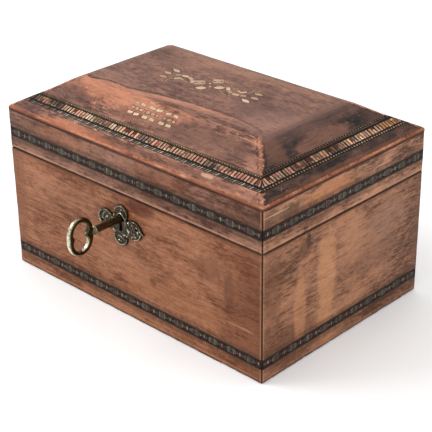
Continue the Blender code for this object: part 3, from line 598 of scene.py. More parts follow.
plateau_wood = wood(
    "wood_plateau", 0, tone(84, 60, 53), tone(136, 99, 86), tone(166, 121, 103), tone(188, 142, 120), 16.0, clouds=30.0, cloud_mix=0.52, streaks=0.62, rough=0.5, scratch=0.45, flecks=1.1, mottle=0.6, stain=0.1, pores=0.8, crack=True,
    spots=(
        ((52.0, -8.0, 140.0), (24.0, 13.0, WIDE), tone(100, 76, 71), 0.7, {"ragged": 0.4, "soft": 0.9, "size": 7.0, "seed": 33.0}),
        ((34.0, 8.0, 140.0), (10.0, 8.0, WIDE), tone(84, 62, 56), 0.4, {"ragged": 0.4, "soft": 0.9, "size": 5.0, "seed": 33.5}),
        ((-34.0, 3.0, 140.0), (14.0, 9.0, WIDE), tone(88, 64, 57), 0.32, {"ragged": 0.4, "soft": 0.9, "size": 5.0, "seed": 34.0}),
        ((-60.0, 22.0, 140.0), (20.0, 10.0, WIDE), tone(102, 76, 66), 0.45, {"ragged": 0.4, "soft": 0.9, "size": 7.0, "seed": 35.0}),
        ((10.0, 34.0, 140.0), (66.0, 4.5, WIDE), tone(166, 122, 98), 0.7, {"ragged": 0.3, "soft": 0.9, "size": 7.0, "seed": 36.0}),
        ((66.0, -18.0, 140.0), (16.0, 16.0, WIDE), tone(160, 120, 106), 0.6, {"ragged": 0.3, "soft": 0.9, "size": 7.0, "seed": 37.0}),
    ),
    lines=((0, 79.0, 0.8, tone(132, 101, 92), 0.6, 3.0, 0.4),),
)
arris_wood = wood(
    "wood_arris", 0, tone(124, 76, 57), tone(166, 106, 80), tone(194, 134, 106), tone(212, 158, 130), 17.0, clouds=18.0, rub=0.5, mottle=1.2,
    spots=(
        ((-100.0, -78.0, 118.0), (16.0, 5.0, WIDE), tone(104, 72, 60), 0.7, {"ragged": 0.3, "soft": 0.9, "size": 6.0, "seed": 38.0}),
        ((82.0, -78.0, 118.0), (30.0, 3.0, WIDE), tone(136, 88, 68), 0.6, {"ragged": 0.4, "soft": 0.9, "size": 6.0, "seed": 39.0}),
    ),
    lines=((2, 117.3, 0.55, tone(104, 70, 57), 0.95, 0.55, 0.2), (2, 116.9, 0.12, tone(60, 36, 28), 0.9, 0.2, 0.2)),
)
under_wood = wall_wood("wood_lid_inside", 18.0, 0)

band_inlay = inlay("inlay_bands", 1.0, 0.75)
mosaic_inlay = inlay("inlay_mosaic", 2.0, 0.42, 0.5, (134, 92, 72))
motif_inlay = inlay("inlay_motif", 3.0, 0.2, 0.45, (158, 114, 90))

# The key's brightest colour below is a painted highlight, laid on through its mask; where the mask is low the key is
# darkened as painted shade.
key_brass = metal("brass_key", shine(72, 64, 45), shine(100, 90, 66), shine(132, 120, 92), 1.0, 0.22, 0.25, (0.45, 0.95, shine(228, 220, 196)), 6.0)
plate_brass = metal("brass_plate", shine(34, 30, 24), shine(62, 56, 45), shine(98, 90, 72), 2.0, 0.30, 0.4, (0.50, 0.85, shine(214, 205, 178)))
lock_brass = metal("brass_lock", shine(92, 78, 44), shine(146, 124, 76), shine(184, 164, 112), 3.0, 0.34, 0.4)
hinge_brass = metal("brass_hinge", shine(70, 58, 36), shine(110, 92, 58), shine(150, 130, 88), 4.0, 0.38, 0.6)
pin_steel = metal("steel_pin", shine(66, 60, 54), shine(116, 110, 102), shine(150, 146, 138), 5.0, 0.38, 0.5)

# ---------------------------------------------------------------- boards of the case and of the lid's rim
SIDES = ("front", "right", "back", "left")


def to_world(side, u, d, z):
    """From places along a side, in from its face, and up."""
    if side == "front":
        return np.stack([u, FRONT + d, z], -1)
    if side == "right":
        return np.stack([WIDTH / 2 - d, u, z], -1)
    if side == "back":
        return np.stack([-u, BACK - d, z], -1)
    return np.stack([-WIDTH / 2 + d, -u, z], -1)


def side_length(side):
    return WIDTH if side in ("front", "back") else DEPTH


def corner_radius(side, right_end, z):
    """Radius of the worn upright arris at one end of a side. Both boards of a corner share it."""
    corner = (SIDES.index(side) + (0 if right_end else 3)) % 4
    z = np.asarray(z, float)
    place = np.stack([z * 0 + corner * 50.0, z * 0, z], -1).reshape(-1, 3)
    radius = 0.75 + 0.30 * noise(place, 9.0, 5) + 0.9 * np.clip(noise(place, 5.0, 6) - 0.45, 0, 1) + 0.15 * noise(place, 2.0, 7)
    return np.clip(radius, 0.35, 1.8).reshape(z.shape)


def board(name, side, low, high, band, radius_low, radius_high, slots, seed, body):
    """One mitred board with worn arrises and a groove for its band."""
    length = side_length(side)
    rows = [(0.0, z, 0) for z in graded(low, band[0] - 0.15, 4.0)]
    rows += [(GROOVE, band[0] - 0.15, 0), (GROOVE, band[1] + 0.15, 0)]
    rows += [(0.0, z, 0) for z in graded(band[1] + 0.15, high, 4.0)]
    rows += [(d, high, 2) for d in graded(0.0, WALL, 2.5)[1:]]
    rows += [(WALL, z, 1) for z in reversed(graded(low, high, 7.0)[:-1])]
    rows += [(d, low, 2) for d in reversed(graded(0.0, WALL, 2.5)[1:-1])]
    near = [0, 0.12, 0.3, 0.55, 0.9, 1.5, 2.4, 3.6]
    reach = length / 2 - 0.212
    half = near + list(np.linspace(5.0, reach, max(2, round((reach - 5.0) / 1.6))))
    along = [(-1, e) for e in half] + [(1, e) for e in reversed(half[:-1])]
    sign = np.array([s for s, _ in along])[:, None]
    e = np.array([x for _, x in along])[:, None]
    d = np.array([r[0] for r in rows])[None, :] + 0 * e
    z = np.array([r[1] for r in rows])[None, :] + 0 * e
    u = sign * (reach - e - d * np.clip(1 - e / 30, 0, 1))
    flat = np.stack([u, d * 0 + seed * 40.0, z * 0], -1).reshape(-1, 3)
    wobble = noise(flat, 7.0, seed).reshape(u.shape)
    chip = np.clip(noise(flat, 3.2, seed + 50).reshape(u.shape) - 0.62, 0, 1) * 2.2
    outer = np.array([r[2] == 0 and r[0] == 0 for r in rows])[None, :]
    for base, radius in ((low, radius_low), (high, radius_high)):
        up = np.abs(z - base)
        r = np.clip(radius * (1 + 0.45 * wobble) + radius * chip, 0.12, 2.2)
        d, up = round_corner(d, up, r)
        back_d, up = round_corner(WALL - d, up, np.full_like(r, 0.3))
        d = WALL - back_d
        z = np.where(np.abs(z - base) < 4, base + up * (1 if base == low else -1), z)
    dents = 0.05 + 0.05 * noise(np.stack([u, z, d * 0 + seed * 9], -1).reshape(-1, 3), 22.0, seed + 9).reshape(u.shape)
    dents += 0.025 * np.clip(noise(np.stack([u, z, d * 0 + seed * 9], -1).reshape(-1, 3), 5.0, seed + 19).reshape(u.shape), 0, 1)
    d = d + np.where(outer, np.clip(dents, 0, 1), 0)
    for right_end in (False, True):
        here = sign > 0 if right_end else sign < 0
        t, new_d = round_corner(length / 2 - np.abs(u), d, corner_radius(side, right_end, z))
        u = np.where(here, np.sign(sign) * (length / 2 - t), u)
        d = np.where(here, new_d, d)
    verts = to_world(side, u, d, z).reshape(-1, 3)
    n, m = len(along), len(rows)
    faces, index = [], []
    for i in range(n - 1):
        for j in range(m):
            k = (j + 1) % m
            faces.append((i * m + j, (i + 1) * m + j, (i + 1) * m + k, i * m + k))
            tags = {rows[j][2], rows[k][2]}
            index.append(0 if tags == {0} else 1 if tags == {1} else 2)
    faces += [tuple(range(m)), tuple((n - 1) * m + j for j in reversed(range(m)))]
    index += [2, 2]
    made = solid(name, verts, faces, slots, index)
    return made


boards = {}
for prefix, low, high, band, finishes in (
    ("base", 0.0, Z_CASE, CASE_BAND, (case_front, case_right, case_back, case_left)),
    ("lid", Z_LID, Z_RIM, RIM_BAND, (rim_front, rim_right, rim_back, rim_left)),
):
    for number, side in enumerate(SIDES):
        node = f"{prefix}_{side}_board"
        radii = (0.9, 0.55) if prefix == "base" else (0.55, 0.28)
        boards[node] = board(f"wood_{node}", side, low, high, band, *radii, (finishes[number], inner_wood, edge_wood), number + (10 if prefix == "lid" else 1), prefix)

slots = (case_front, inner_wood, edge_wood)
subtract(
    boards["base_front_board"],
    [
        rod(2.9, FRONT - 4, FRONT + 4, 1, (KEY_X, KEY_Z), 48, 2, slots),
        block((KEY_X - 1.4, FRONT - 4, 62.8), (KEY_X + 1.4, FRONT + 4, KEY_Z), 2, slots),
        block((KEY_X - LOCK_HALF - 0.3, FRONT + 3.0, LOCK_LOW - 0.3), (KEY_X + LOCK_HALF + 0.3, FRONT + WALL + 2, 100), 2, slots),
        block((KEY_X - SELVEDGE_HALF - 0.3, FRONT + 2.2, Z_CASE - 1.5), (KEY_X + SELVEDGE_HALF + 0.3, FRONT + WALL + 3, 110), 2, slots),
    ],
)
slots = (rim_front, inner_wood, edge_wood)
subtract(boards["lid_front_board"], [block((KEY_X - SELVEDGE_HALF - 0.3, FRONT + 2.2, Z_LID - 2), (KEY_X + SELVEDGE_HALF + 0.3, FRONT + WALL + 3, Z_LID + 1.5), 2, slots)])
for owner, recess_low, recess_high in (("base", Z_CASE - 1.3, Z_CASE + 0.4), ("lid", Z_LID - 0.4, Z_LID + 1.3)):
    slots = (case_back, inner_wood, edge_wood)
    tools = [
        block((x - HINGE_HALF - 0.3, BACK - LEAF_DEPTH - 0.3, recess_low), (x + HINGE_HALF + 0.3, BACK + 2, recess_high), 2, slots)
        for x in (-HINGE_X, HINGE_X)
    ]
    subtract(boards[f"{owner}_back_board"], tools)
for node, made in boards.items():
    body = node.split("_")[0]
    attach(made, body)
    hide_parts(node)


# ---------------------------------------------------------------- top panel
FULLNESS = 1.3


def rise(share):
    """Height over the arris, for a share of the slope. It runs straight up and then bends into the crown."""
    share = np.asarray(share, float)
    bend = SOFTNESS * np.log1p(np.exp((share - 1) / SOFTNESS))
    crown = CROWN * (1 - np.exp(-np.clip(share - 0.9, 0, None) / 0.35))
    # Over its upper part the old slope is a little fuller than a plain one.
    full = FULLNESS * np.exp(-(((share - 0.88) / 0.26) ** 2)) * np.clip((share - 0.47) / 0.14, 0, 1)
    return STRAIGHT * (share - bend) + crown + full


DENTS = (
    # x, y, radii, depth: chips on the near hip, the arris and the plateau
    (81.0, -43.0, 2.2, 1.6, 0.55),
    (84.5, -46.5, 1.6, 1.3, 0.6),
    (87.5, -49.0, 1.4, 1.6, 0.45),
    (78.5, -40.5, 2.4, 1.6, 0.4),
    (66.5, -72.5, 3.2, 0.9, 0.35),
    (-58.0, -41.0, 4.0, 1.5, 0.25),
    (14.0, -47.0, 5.0, 2.0, 0.22),
    (-84.0, 38.0, 3.0, 2.0, 0.35),
    (96.0, 58.0, 2.0, 1.5, 0.4),
)


def settle(x, y, share):
    """How far the old surface has sunk or been worn below its first shape."""
    place = np.stack([x, y, x * 0], -1).reshape(-1, 3)
    soft = np.clip((share - 0.47) / 0.2, 0, 1)
    low = (0.16 * (noise(place, 42.0, 3) + 1) + 0.05 * (noise(place, 11.0, 4) + 1)).reshape(x.shape) * soft
    low = low + 0.018 * (noise(place, 2.6, 8).reshape(x.shape) + 1) * soft
    for cx, cy, rx, ry, depth in DENTS:
        low = low + depth * np.exp(-(((x - cx) / rx) ** 2) - ((y - cy) / ry) ** 2)
    return low


def share_at(x, y):
    """Share of the slope at a place in plan, over 1 on the flat part."""
    ax, ay = WIDTH / 2 - np.abs(x), DEPTH / 2 - np.abs(y)
    sx = np.where(ax < INSET_X, ax / INSET_X, 1 + (ax - INSET_X) / INSET_Y)
    sy = ay / INSET_Y
    return np.minimum(sx, sy)


def top_height(x, y):
    x, y = np.asarray(x, float), np.asarray(y, float)
    share = share_at(x, y)
    return Z_ARRIS + rise(share) - settle(x, y, share)


NX, NY, ARC = 150, 100, 6


def ring(inset_x, inset_y, height, radius):
    """A rounded rectangle at one height, anticlockwise from the near right corner."""
    ax, ay = WIDTH / 2 - inset_x, DEPTH / 2 - inset_y
    radius = min(radius, ax * 0.95, ay * 0.95)
    corners = []
    for sx, sy, start in ((1, -1, -90), (1, 1, 0), (-1, 1, 90), (-1, -1, 180)):
        angles = np.radians(start + 90 * np.arange(ARC + 1) / ARC)
        corners.append(np.stack([sx * (ax - radius) + radius * np.cos(angles), sy * (ay - radius) + radius * np.sin(angles)], -1))
    parts = []
    for k, count in enumerate((NY, NX, NY, NX)):
        a, b = corners[k][-1], corners[(k + 1) % 4][0]
        parts.append(corners[k])
        parts.append(a + (b - a) * (np.arange(1, count) / count)[:, None])
    plan = np.concatenate(parts)
    return np.concatenate([plan, np.full((len(plan), 1), height)], 1)


def ring_sides():
    """The side that each step of a ring belongs to. Corners are split on the hips."""
    tags = []
    for k, count in enumerate((NY, NX, NY, NX)):
        before, after = (0, 1, 2, 3)[k], (1, 2, 3, 0)[k]
        tags += [before] * (ARC // 2) + [after] * (ARC - ARC // 2)
        tags += [after] * count
    return tags


def slope_row(share, depth=0.0):
    length = math.hypot(STRAIGHT, (INSET_X + INSET_Y) / 2)
    beyond = max(share - 1, 0) * INSET_Y
    reach = min(share, 1)
    aside = depth * STRAIGHT / length
    radius = 0.6 + 4.6 * min(share, 1.0) ** 2
    height = Z_ARRIS + float(rise(share)) - depth * (INSET_X + INSET_Y) / 2 / length
    return ring(reach * INSET_X + beyond + aside, reach * INSET_Y + beyond + aside, height, radius)


rows, kinds = [], []


def row(points, kind):
    """Adds a ring. kind names the finish between it and the next ring."""
    rows.append(points)
    kinds.append(kind)


row(ring(37.5, 37.5, Z_CROWN - PANEL, 3.0), "under")
row(ring(WALL, WALL, Z_PANEL, 0.6), "under")
row(ring(0.45, 0.45, Z_PANEL, 0.6), "arris")
row(ring(0.12, 0.12, Z_PANEL + 0.1, 0.6), "arris")
row(ring(0.0, 0.0, Z_PANEL + 0.35, 0.6), "arris")
ROUND, TURN = 2.0, math.radians(61.6)
centre_z = Z_ARRIS - ROUND * math.tan(TURN / 2)
for k in range(9):
    angle = TURN * k / 8
    inset = ROUND * (1 - math.cos(angle))
    row(ring(inset * 36 / 37, inset * 38 / 37, centre_z + ROUND * math.sin(angle), 0.6 + 0.02 * k), "arris" if k < 7 else "slope")
for share in (0.045, 0.06, 0.08, 0.10, 0.125, 0.15, 0.172):
    row(slope_row(share), "slope")
first, last = MOSAIC[0] - 0.004, MOSAIC[1] + 0.006
row(slope_row(first), "slope")
row(slope_row(first, GROOVE), "slope")
row(slope_row(last, GROOVE), "slope")
for share in [last] + list(np.arange(0.48, 0.90, 0.03)) + list(np.arange(0.90, 1.16, 0.02)):
    row(slope_row(share), "slope" if share < 0.995 else "flat")
for share in np.arange(1.18, 2.025, 0.03):
    row(slope_row(share), "flat")
rings = np.array(rows)
edge_rows = range(3, 13)
place = rings.reshape(-1, 3)
shares = share_at(rings[..., 0], rings[..., 1])
upper = np.arange(len(rows))[:, None] > 13
rings[..., 2] -= np.where(upper & (np.arange(len(rows))[:, None] > 22), settle(rings[..., 0], rings[..., 1], shares), 0)
# Uneven wear of the arris: the rings near it are drawn in a little.
worn = 0.16 * (noise(place * (1, 1, 0), 9.0, 21) + 1) + 0.5 * np.clip(noise(place * (1, 1, 0), 3.4, 22) - 0.55, 0, 1) + 1.1 * np.clip(noise(place * (1, 1, 0), 14.0, 23) - 0.55, 0, 1)
worn = worn.reshape(rings.shape[:2])
weight = np.zeros(len(rows))
for k in edge_rows:
    weight[k] = math.sin(math.pi * (k - 2) / 12) ** 0.7
for axis, half in ((0, WIDTH / 2), (1, DEPTH / 2)):
    near_side = np.abs(rings[..., axis]) > half - 3
    rings[..., axis] -= np.where(near_side, np.sign(rings[..., axis]) * worn * weight[:, None] * 0.55, 0)
rings[..., 2] -= worn * weight[:, None] * 0.45 * (np.arange(len(rows))[:, None] > 7)
count = rings.shape[1]
tags = ring_sides()
finish_index = {"under": 5, "arris": 6, "flat": 4}
faces, index = [], []
for r in range(len(rows) - 1):
    for i in range(count):
        j = (i + 1) % count
        faces.append((r * count + i, r * count + j, (r + 1) * count + j, (r + 1) * count + i))
        index.append(finish_index.get(kinds[r], tags[i]))
faces.append(tuple(reversed(range(count))))
index.append(5)
# The last ring is a long thin loop. Its front and back points are joined in pairs.
top = (len(rows) - 1) * count
right = list(range(0, 2 * (ARC + 1) + NY - 1))
back = list(range(right[-1], right[-1] + NX + 1))
left = list(range(back[-1], back[-1] + 2 * (ARC + 1) + NY - 2))
front = [k % count for k in range(left[-1], left[-1] + NX + 1)]
for k in range(NX):
    faces.append((top + front[k], top + front[k + 1], top + back[NX - k - 1], top + back[NX - k]))
    index.append(4)
faces.append(tuple(top + k for k in right))
faces.append(tuple(top + k for k in left))
index += [4, 4]
panel = solid("wood_lid_top_panel", rings.reshape(-1, 3), faces, (slope_front, slope_right, slope_back, slope_left, plateau_wood, under_wood, arris_wood), index, 40.0)

CRACK = ((-76.5, -40.2), (-73.7, -39.5), (-57.6, -36.0), (-37.6, -36.2), (-15.2, -31.3), (8.7, -28.2), (33.5, -26.8), (55.3, -27.7), (73.3, -32.2))


def crack_blade():
    """A thin uneven blade that follows the crack along the front of the flat part."""
    points = []
    for (ax, ay), (bx, by) in zip(CRACK, CRACK[1:]):
        steps = max(2, int(math.hypot(bx - ax, by - ay) / 1.6))
        for k in range(steps):
            points.append((ax + (bx - ax) * k / steps, ay + (by - ay) * k / steps))
    points.append(CRACK[-1])
    points = np.array(points)
    wander = noise(np.concatenate([points, np.zeros((len(points), 1))], 1), 6.0, 31)
    points[:, 1] += 0.35 * wander
    wide = 0.26 + 0.14 * noise(np.concatenate([points, np.ones((len(points), 1))], 1), 9.0, 32)
    wide = wide * np.interp(points[:, 0], (-76, -60, 20, 73), (0.2, 1.0, 1.0, 0.12))
    heights = top_height(points[:, 0], points[:, 1])
    verts, faces = [], []
    for (x, y), w, h in zip(points, wide, heights):
        verts += [(x, y - w * 0.3, h - 0.5), (x, y - w, h + 1.2), (x, y + w, h + 1.2), (x, y + w * 0.3, h - 0.5)]
    for k in range(len(points) - 1):
        for j in range(4):
            n = (j + 1) % 4
            faces.append((k * 4 + j, k * 4 + n, (k + 1) * 4 + n, (k + 1) * 4 + j))
    faces += [(0, 1, 2, 3), tuple((len(points) - 1) * 4 + j for j in (3, 2, 1, 0))]
    return solid("tool", verts, faces, (slope_front,) * 6 + (arris_wood,), [5] * len(faces))


subtract(panel, [crack_blade()], 40.0)
spots_on_panel = np.empty(len(panel.data.vertices) * 3)
panel.data.vertices.foreach_get("co", spots_on_panel)
spots_on_panel = spots_on_panel.reshape(-1, 3) / MM
line_y = np.interp(spots_on_panel[:, 0], [p[0] for p in CRACK], [p[1] for p in CRACK])
beyond = np.clip(np.abs(spots_on_panel[:, 0]) - 74.0, 0, None)
from_crack = spots_on_panel[:, 1] - line_y + 6.0 * beyond
panel.data.attributes.new("crack", "FLOAT", "POINT").data.foreach_set("value", from_crack.astype(np.float32))
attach(panel, "lid")
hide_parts("lid_top_panel")


# ---------------------------------------------------------------- inlay
class Tiles:
    """Small closed prisms with softened tops, each with its own tint."""

    def __init__(self):
        self.verts, self.faces, self.tints = [], [], []

    def add(self, outline, place, low, high, tint, soft=0.07):
        outline = [tuple(p) for p in outline]
        n = len(outline)
        cx, cy = sum(p[0] for p in outline) / n, sum(p[1] for p in outline) / n
        start = len(self.verts)
        loops = []
        for shrink, level in ((0.0, low), (0.0, high - soft * 0.7), (soft, high)):
            loop = []
            for x, y in outline:
                away = math.hypot(x - cx, y - cy) or 1.0
                k = max(0.3, 1 - shrink / away)
                loop.append(place(cx + (x - cx) * k, cy + (y - cy) * k, level))
            loops.append(loop)
        for loop in loops:
            self.verts += loop
        made = []
        area = sum(a[0] * b[1] - b[0] * a[1] for a, b in zip(outline, outline[1:] + outline[:1]))
        order = list(range(n)) if area > 0 else list(reversed(range(n)))
        made.append(tuple(start + k for k in reversed(order)))
        for level in range(2):
            for a, b in zip(order, order[1:] + order[:1]):
                made.append((start + level * n + a, start + level * n + b, start + (level + 1) * n + b, start + (level + 1) * n + a))
        made.append(tuple(start + 2 * n + k for k in order))
        self.faces += made
        self.tints += [tint] * len(made)

    def build(self, name, material):
        mesh = bpy.data.meshes.new(name)
        mesh.from_pydata((np.array(self.verts, float) * MM).tolist(), [], self.faces)
        mesh.materials.append(material)
        paint = mesh.color_attributes.new("tint", "FLOAT_COLOR", "CORNER")
        sizes = [len(f) for f in self.faces]
        colours = np.repeat(np.array([tuple(t) + (1.0,) for t in self.tints], np.float32), sizes, axis=0)
        paint.data.foreach_set("color", colours.ravel())
        made = bpy.data.objects.new(name, mesh)
        bpy.context.scene.collection.objects.link(made)
        return made


def vary(rng, colour, amount=0.12):
    k = 1 + rng.uniform(-amount, amount)
    return tuple(max(0.0, c * k * (1 + rng.uniform(-amount, amount) * 0.35)) for c in colour)


def face_place(side):
    """Places on an upright side: along, up, and out from the face."""
    length = side_length(side)

    def place(u, z, h):
        u = math.copysign(min(abs(u), length / 2 - 0.2 + min(h, 0.0)), u)
        radius = float(corner_radius(side, u > 0, np.array([z]))[0])
        t, d = round_corner(np.array([length / 2 - abs(u)]), np.array([-h]), np.array([radius]))
        return tuple(to_world(side, np.array([math.copysign(length / 2 - float(t[0]), u)]), d, np.array([z]))[0])

    return place


def slope_place(side):
    """Places on a slope: along, share of the slope, and out square to it."""
    across = side in ("front", "back")
    inset = INSET_Y if across else INSET_X
    other = INSET_X if across else INSET_Y
    half, length = (DEPTH / 2 if across else WIDTH / 2), side_length(side)
    run = math.hypot(STRAIGHT, inset)

    def place(u, share, h):
        limit = length / 2 - share * other - 0.2 + h * 0.45
        u = max(-limit, min(limit, u))
        d = share * inset - h * STRAIGHT / run
        z = Z_ARRIS + float(rise(share)) + h * inset / run
        return tuple(to_world(side, np.array([u]), np.array([d]), np.array([z]))[0])

    return place


def strip_outline(half, low, high, step=8.0):
    """A long strip's outline with extra points, closer together at its ends."""
    stops = [0.0, 0.3, 0.7, 1.2, 2.0, 4.0]
    xs = [-half + s for s in stops] + list(np.arange(-half + 4.0 + step, half - 4.0, step)) + [half - s for s in reversed(stops)]
    return [(x, low) for x in xs] + [(x, high) for x in reversed(xs)]


NEAR_BLACK = tone(46, 39, 36)


def band(name, node, side, levels, body, phase, rng):
    """The inlaid band: a dark strip with green ovals and pale lozenges between them."""
    tiles = Tiles()
    place = face_place(side)
    half = side_length(side) / 2
    low, high = levels
    middle = (low + high) / 2
    outline = strip_outline(half - 0.2, low, high)
    tiles.add(outline, place, -STRIP, -0.06, tone(56, 50, 46), 0.02)
    for edge in (low + 0.42, high - 0.42):
        x = -half + 0.5
        while x < half - 0.5:
            end = min(half - 0.5, x + rng.uniform(9, 22))
            tiles.add([(x + 0.05, edge - 0.16), (end - 0.05, edge - 0.16), (end - 0.05, edge + 0.16), (x + 0.05, edge + 0.16)], place, -0.3, -0.01, vary(rng, tone(92, 82, 72), 0.25), 0.03)
            x = end
    pitch = 15.1
    first = phase - pitch * math.ceil((phase + half) / pitch)
    k = 0
    while first + k * pitch < half + pitch:
        x = first + k * pitch
        k += 1
        if abs(x) < half - 1.2:
            tint = vary(rng, tone(152, 124, 113) if body == "base" else tone(130, 122, 110), 0.25)
            tiles.add([(x - 0.95, middle), (x, middle - 1.6), (x + 0.95, middle), (x, middle + 1.6)], place, -0.3, -0.012, tint)
            for sx in (-1, 1):
                for sz in (-1, 1):
                    tiles.add([(x + sx * 1.35, middle + sz * 0.55), (x + sx * 0.75, middle + sz * 1.6), (x + sx * 1.75, middle + sz * 2.1)], place, -0.3, -0.02, vary(rng, tone(80, 72, 66), 0.3), 0.04)
        oval = x + pitch / 2
        slices = 9
        for n in range(slices):
            a, b = -4.75 + 9.5 * n / slices, -4.75 + 9.5 * (n + 1) / slices
            heights = [2.2 * math.sqrt(max(0.02, 1 - (v / 4.85) ** 2)) for v in (a + 0.03, b - 0.03)]
            points = [(oval + a + 0.03, middle - heights[0]), (oval + b - 0.03, middle - heights[1]), (oval + b - 0.03, middle + heights[1]), (oval + a + 0.03, middle + heights[0])]
            if max(abs(p[0]) for p in points) > half - 0.9:
                continue
            base = (tone(96, 91, 82), tone(112, 106, 96), tone(80, 74, 67), tone(90, 83, 75))[(n * 3 + k) % 4]
            tiles.add(points, place, -0.3, -0.03 + rng.uniform(-0.02, 0.018), vary(rng, base, 0.32), 0.05)
        for sx in (-1, 1):
            spot = oval + sx * 5.55
            if abs(spot) < half - 1.5:
                tiles.add([(spot - 0.45, middle), (spot, middle - 0.75), (spot + 0.45, middle), (spot, middle + 0.75)], place, -0.3, -0.012, vary(rng, tone(124, 114, 102), 0.3), 0.05)
    made = tiles.build(name, band_inlay)
    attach(made, body)
    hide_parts(node)


rng = random.Random(41)
for number, side in enumerate(SIDES):
    band(f"inlay_base_band_{side}", f"base_band_{side}", side, CASE_BAND, "base", (-8.75, 3.0, -2.0, 5.0)[number], rng)
    band(f"inlay_lid_band_{side}", f"lid_band_{side}", side, RIM_BAND, "lid", (-8.75, 2.0, 1.0, -4.0)[number], rng)

TAN, PINK, BROWN = tone(214, 176, 144), tone(212, 158, 136), tone(120, 78, 60)
CREAM, AMBER, ASH = tone(228, 202, 172), tone(190, 142, 102), tone(142, 122, 108)
PITCH = tone(52, 43, 37)


def mosaic(name, node, side, rng):
    """The mosaic border of one slope."""
    tiles = Tiles()
    place = slope_place(side)
    across = side in ("front", "back")
    inset = INSET_Y if across else INSET_X
    run = math.hypot(STRAIGHT, inset)
    half = side_length(side) / 2 - MOSAIC[0] * (INSET_X if across else INSET_Y)
    outline = strip_outline(half, *MOSAIC)
    tiles.add(outline, place, -STRIP, -0.16, PITCH, 0.0)

    def glow(u):
        """How bright the pieces are along the side: dull near some ends, as dirt has it."""
        if side == "front":
            return 1.14 if -74 < u < 55 else 0.64 if u < 0 else 0.92
        if side == "right":
            return 1.4 if 14 < u < 29 else 1.12 if u > 29 else 0.98 if u > -14 else 0.8
        return 0.85

    def place_tile(u, v, h):
        return place(u, v / run, h)

    def quad(u0, u1, v0, v1, slant, tint, high=0.02, soft=0.06):
        if u1 - u0 > 0.12:
            tiles.add([(u0, v0), (u1, v0), (u1 + slant, v1), (u0 + slant, v1)], place_tile, -0.5, high, tint, soft)

    def ladder(v0, v1):
        """Upright bars, light and dark by turns, that lean a little this way and that."""
        u, k, family, left = -half + 0.6, 0, TAN, 0
        while u < half - 1.2:
            if left <= 0:
                family = rng.choice((TAN, TAN, PINK, PINK, CREAM, ASH))
                if side == "right":
                    family = rng.choice((CREAM, AMBER, TAN)) if glow(u) > 1.3 else rng.choice((TAN, AMBER, PINK, TAN)) if glow(u) > 1.0 else rng.choice((TAN, PINK, ASH, ASH))
                if side == "front" and u < -74:
                    family = rng.choice((ASH, ASH, PINK))
                left = rng.randint(2, 6)
            wide = rng.uniform(1.2, 1.75)
            lean = rng.uniform(0.15, 0.65) * (1 if side in ("front", "back") else -0.6)
            top_cut, foot_cut = rng.uniform(0.0, 0.5), rng.uniform(0.0, 0.45)
            bright = glow(u) * rng.uniform(0.7, 1.15)
            if rng.random() < 0.06:
                bright *= 0.4
            if rng.random() < (0.62 if side == "right" else 0.34 if side == "front" else 0.2):
                # Two short blocks of different tints in place of one bar.
                part = v0 + (v1 - v0) * rng.uniform(0.35, 0.65)
                other = rng.choice((ASH, PINK, TAN, BROWN))
                quad(u, u + wide, v0 + foot_cut, part - 0.12, lean * 0.5, tuple(c * bright for c in vary(rng, family, 0.2)), rng.uniform(-0.02, 0.05))
                quad(u + lean * 0.5 - 0.2, u + wide + lean * 0.5 + 0.25, part + 0.12, v1 - top_cut, lean * 0.9, tuple(c * bright * 0.9 for c in vary(rng, other, 0.2)), rng.uniform(-0.02, 0.05))
            else:
                quad(u, u + wide, v0 + foot_cut, v1 - top_cut, lean, tuple(c * bright for c in vary(rng, family, 0.14)), rng.uniform(-0.02, 0.05))
            if rng.random() < 0.3:
                # A small piece across the bars.
                quad(u + 0.1, u + wide + 0.5, v0 + foot_cut - 0.02, v0 + foot_cut + 0.55, 0.0, tuple(c * bright * 0.9 for c in vary(rng, CREAM, 0.12)), 0.055, 0.04)
            gap = rng.uniform(0.95, 1.5)
            if rng.random() < 0.6:
                quad(u + wide + 0.12, u + wide + gap - 0.12, v0 + 0.3, v1 - 0.3, lean, vary(rng, BROWN, 0.3), -0.03, 0.03)
            u += wide + gap
            left -= 1
            k += 1

    v0, v1 = MOSAIC[0] * run, MOSAIC[1] * run
    if across:
        # Twill of small slanting pieces, a black line, the bars, and a saw-toothed row. The black line is the dark
        # ground left bare between the twill and the bars, partly the mosaic's own dark ground and partly a painted
        # shadow line.
        u, n = -half + 0.3, 0
        while u < half - 2.0:
            k = glow(u)
            tint = (tone(140, 128, 116), tone(184, 166, 150), tone(116, 104, 94))[n % 3]
            quad(u, u + 1.1, v0 + 0.35, v0 + 2.25, 1.5, tuple(c * k for c in vary(rng, tint, 0.3)), 0.01)
            u += 2.25
            n += 1
        ladder(v0 + 3.5, v0 + 8.3)
        u = -half + 1.0
        while u < half - 2.4:
            k = glow(u)
            wide = rng.uniform(0.85, 1.0)
            tiles.add([(u, v0 + 8.75), (u + 1.7 * wide, v0 + 8.75), (u + 0.85 * wide, v1 - 0.75)], place_tile, -0.5, 0.0, tuple(c * k for c in vary(rng, tone(96, 82, 64), 0.3)), 0.05)
            tiles.add([(u + wide + 0.1, v1 - 0.62), (u + 2.7 * wide, v1 - 0.62), (u + 1.9 * wide, v0 + 9.3)], place_tile, -0.5, 0.02, tuple(c * k for c in vary(rng, tone(176, 154, 128), 0.3)), 0.05)
            u += 2.35 * wide
        edges = ((v1 - 0.4, 0.34, tone(164, 134, 110)), (v0 + 0.02, 0.24, tone(150, 120, 100)))
    else:
        ladder(v0 + 3.4, v0 + 8.6)
        u = -half + 0.8
        while u < half - 1.2:
            k = glow(u)
            quad(u, u + 1.15, v0 + 1.3, v0 + 2.4, 0.0, tuple(c * k for c in vary(rng, tone(158, 134, 110), 0.25)), 0.01)
            u += 2.5
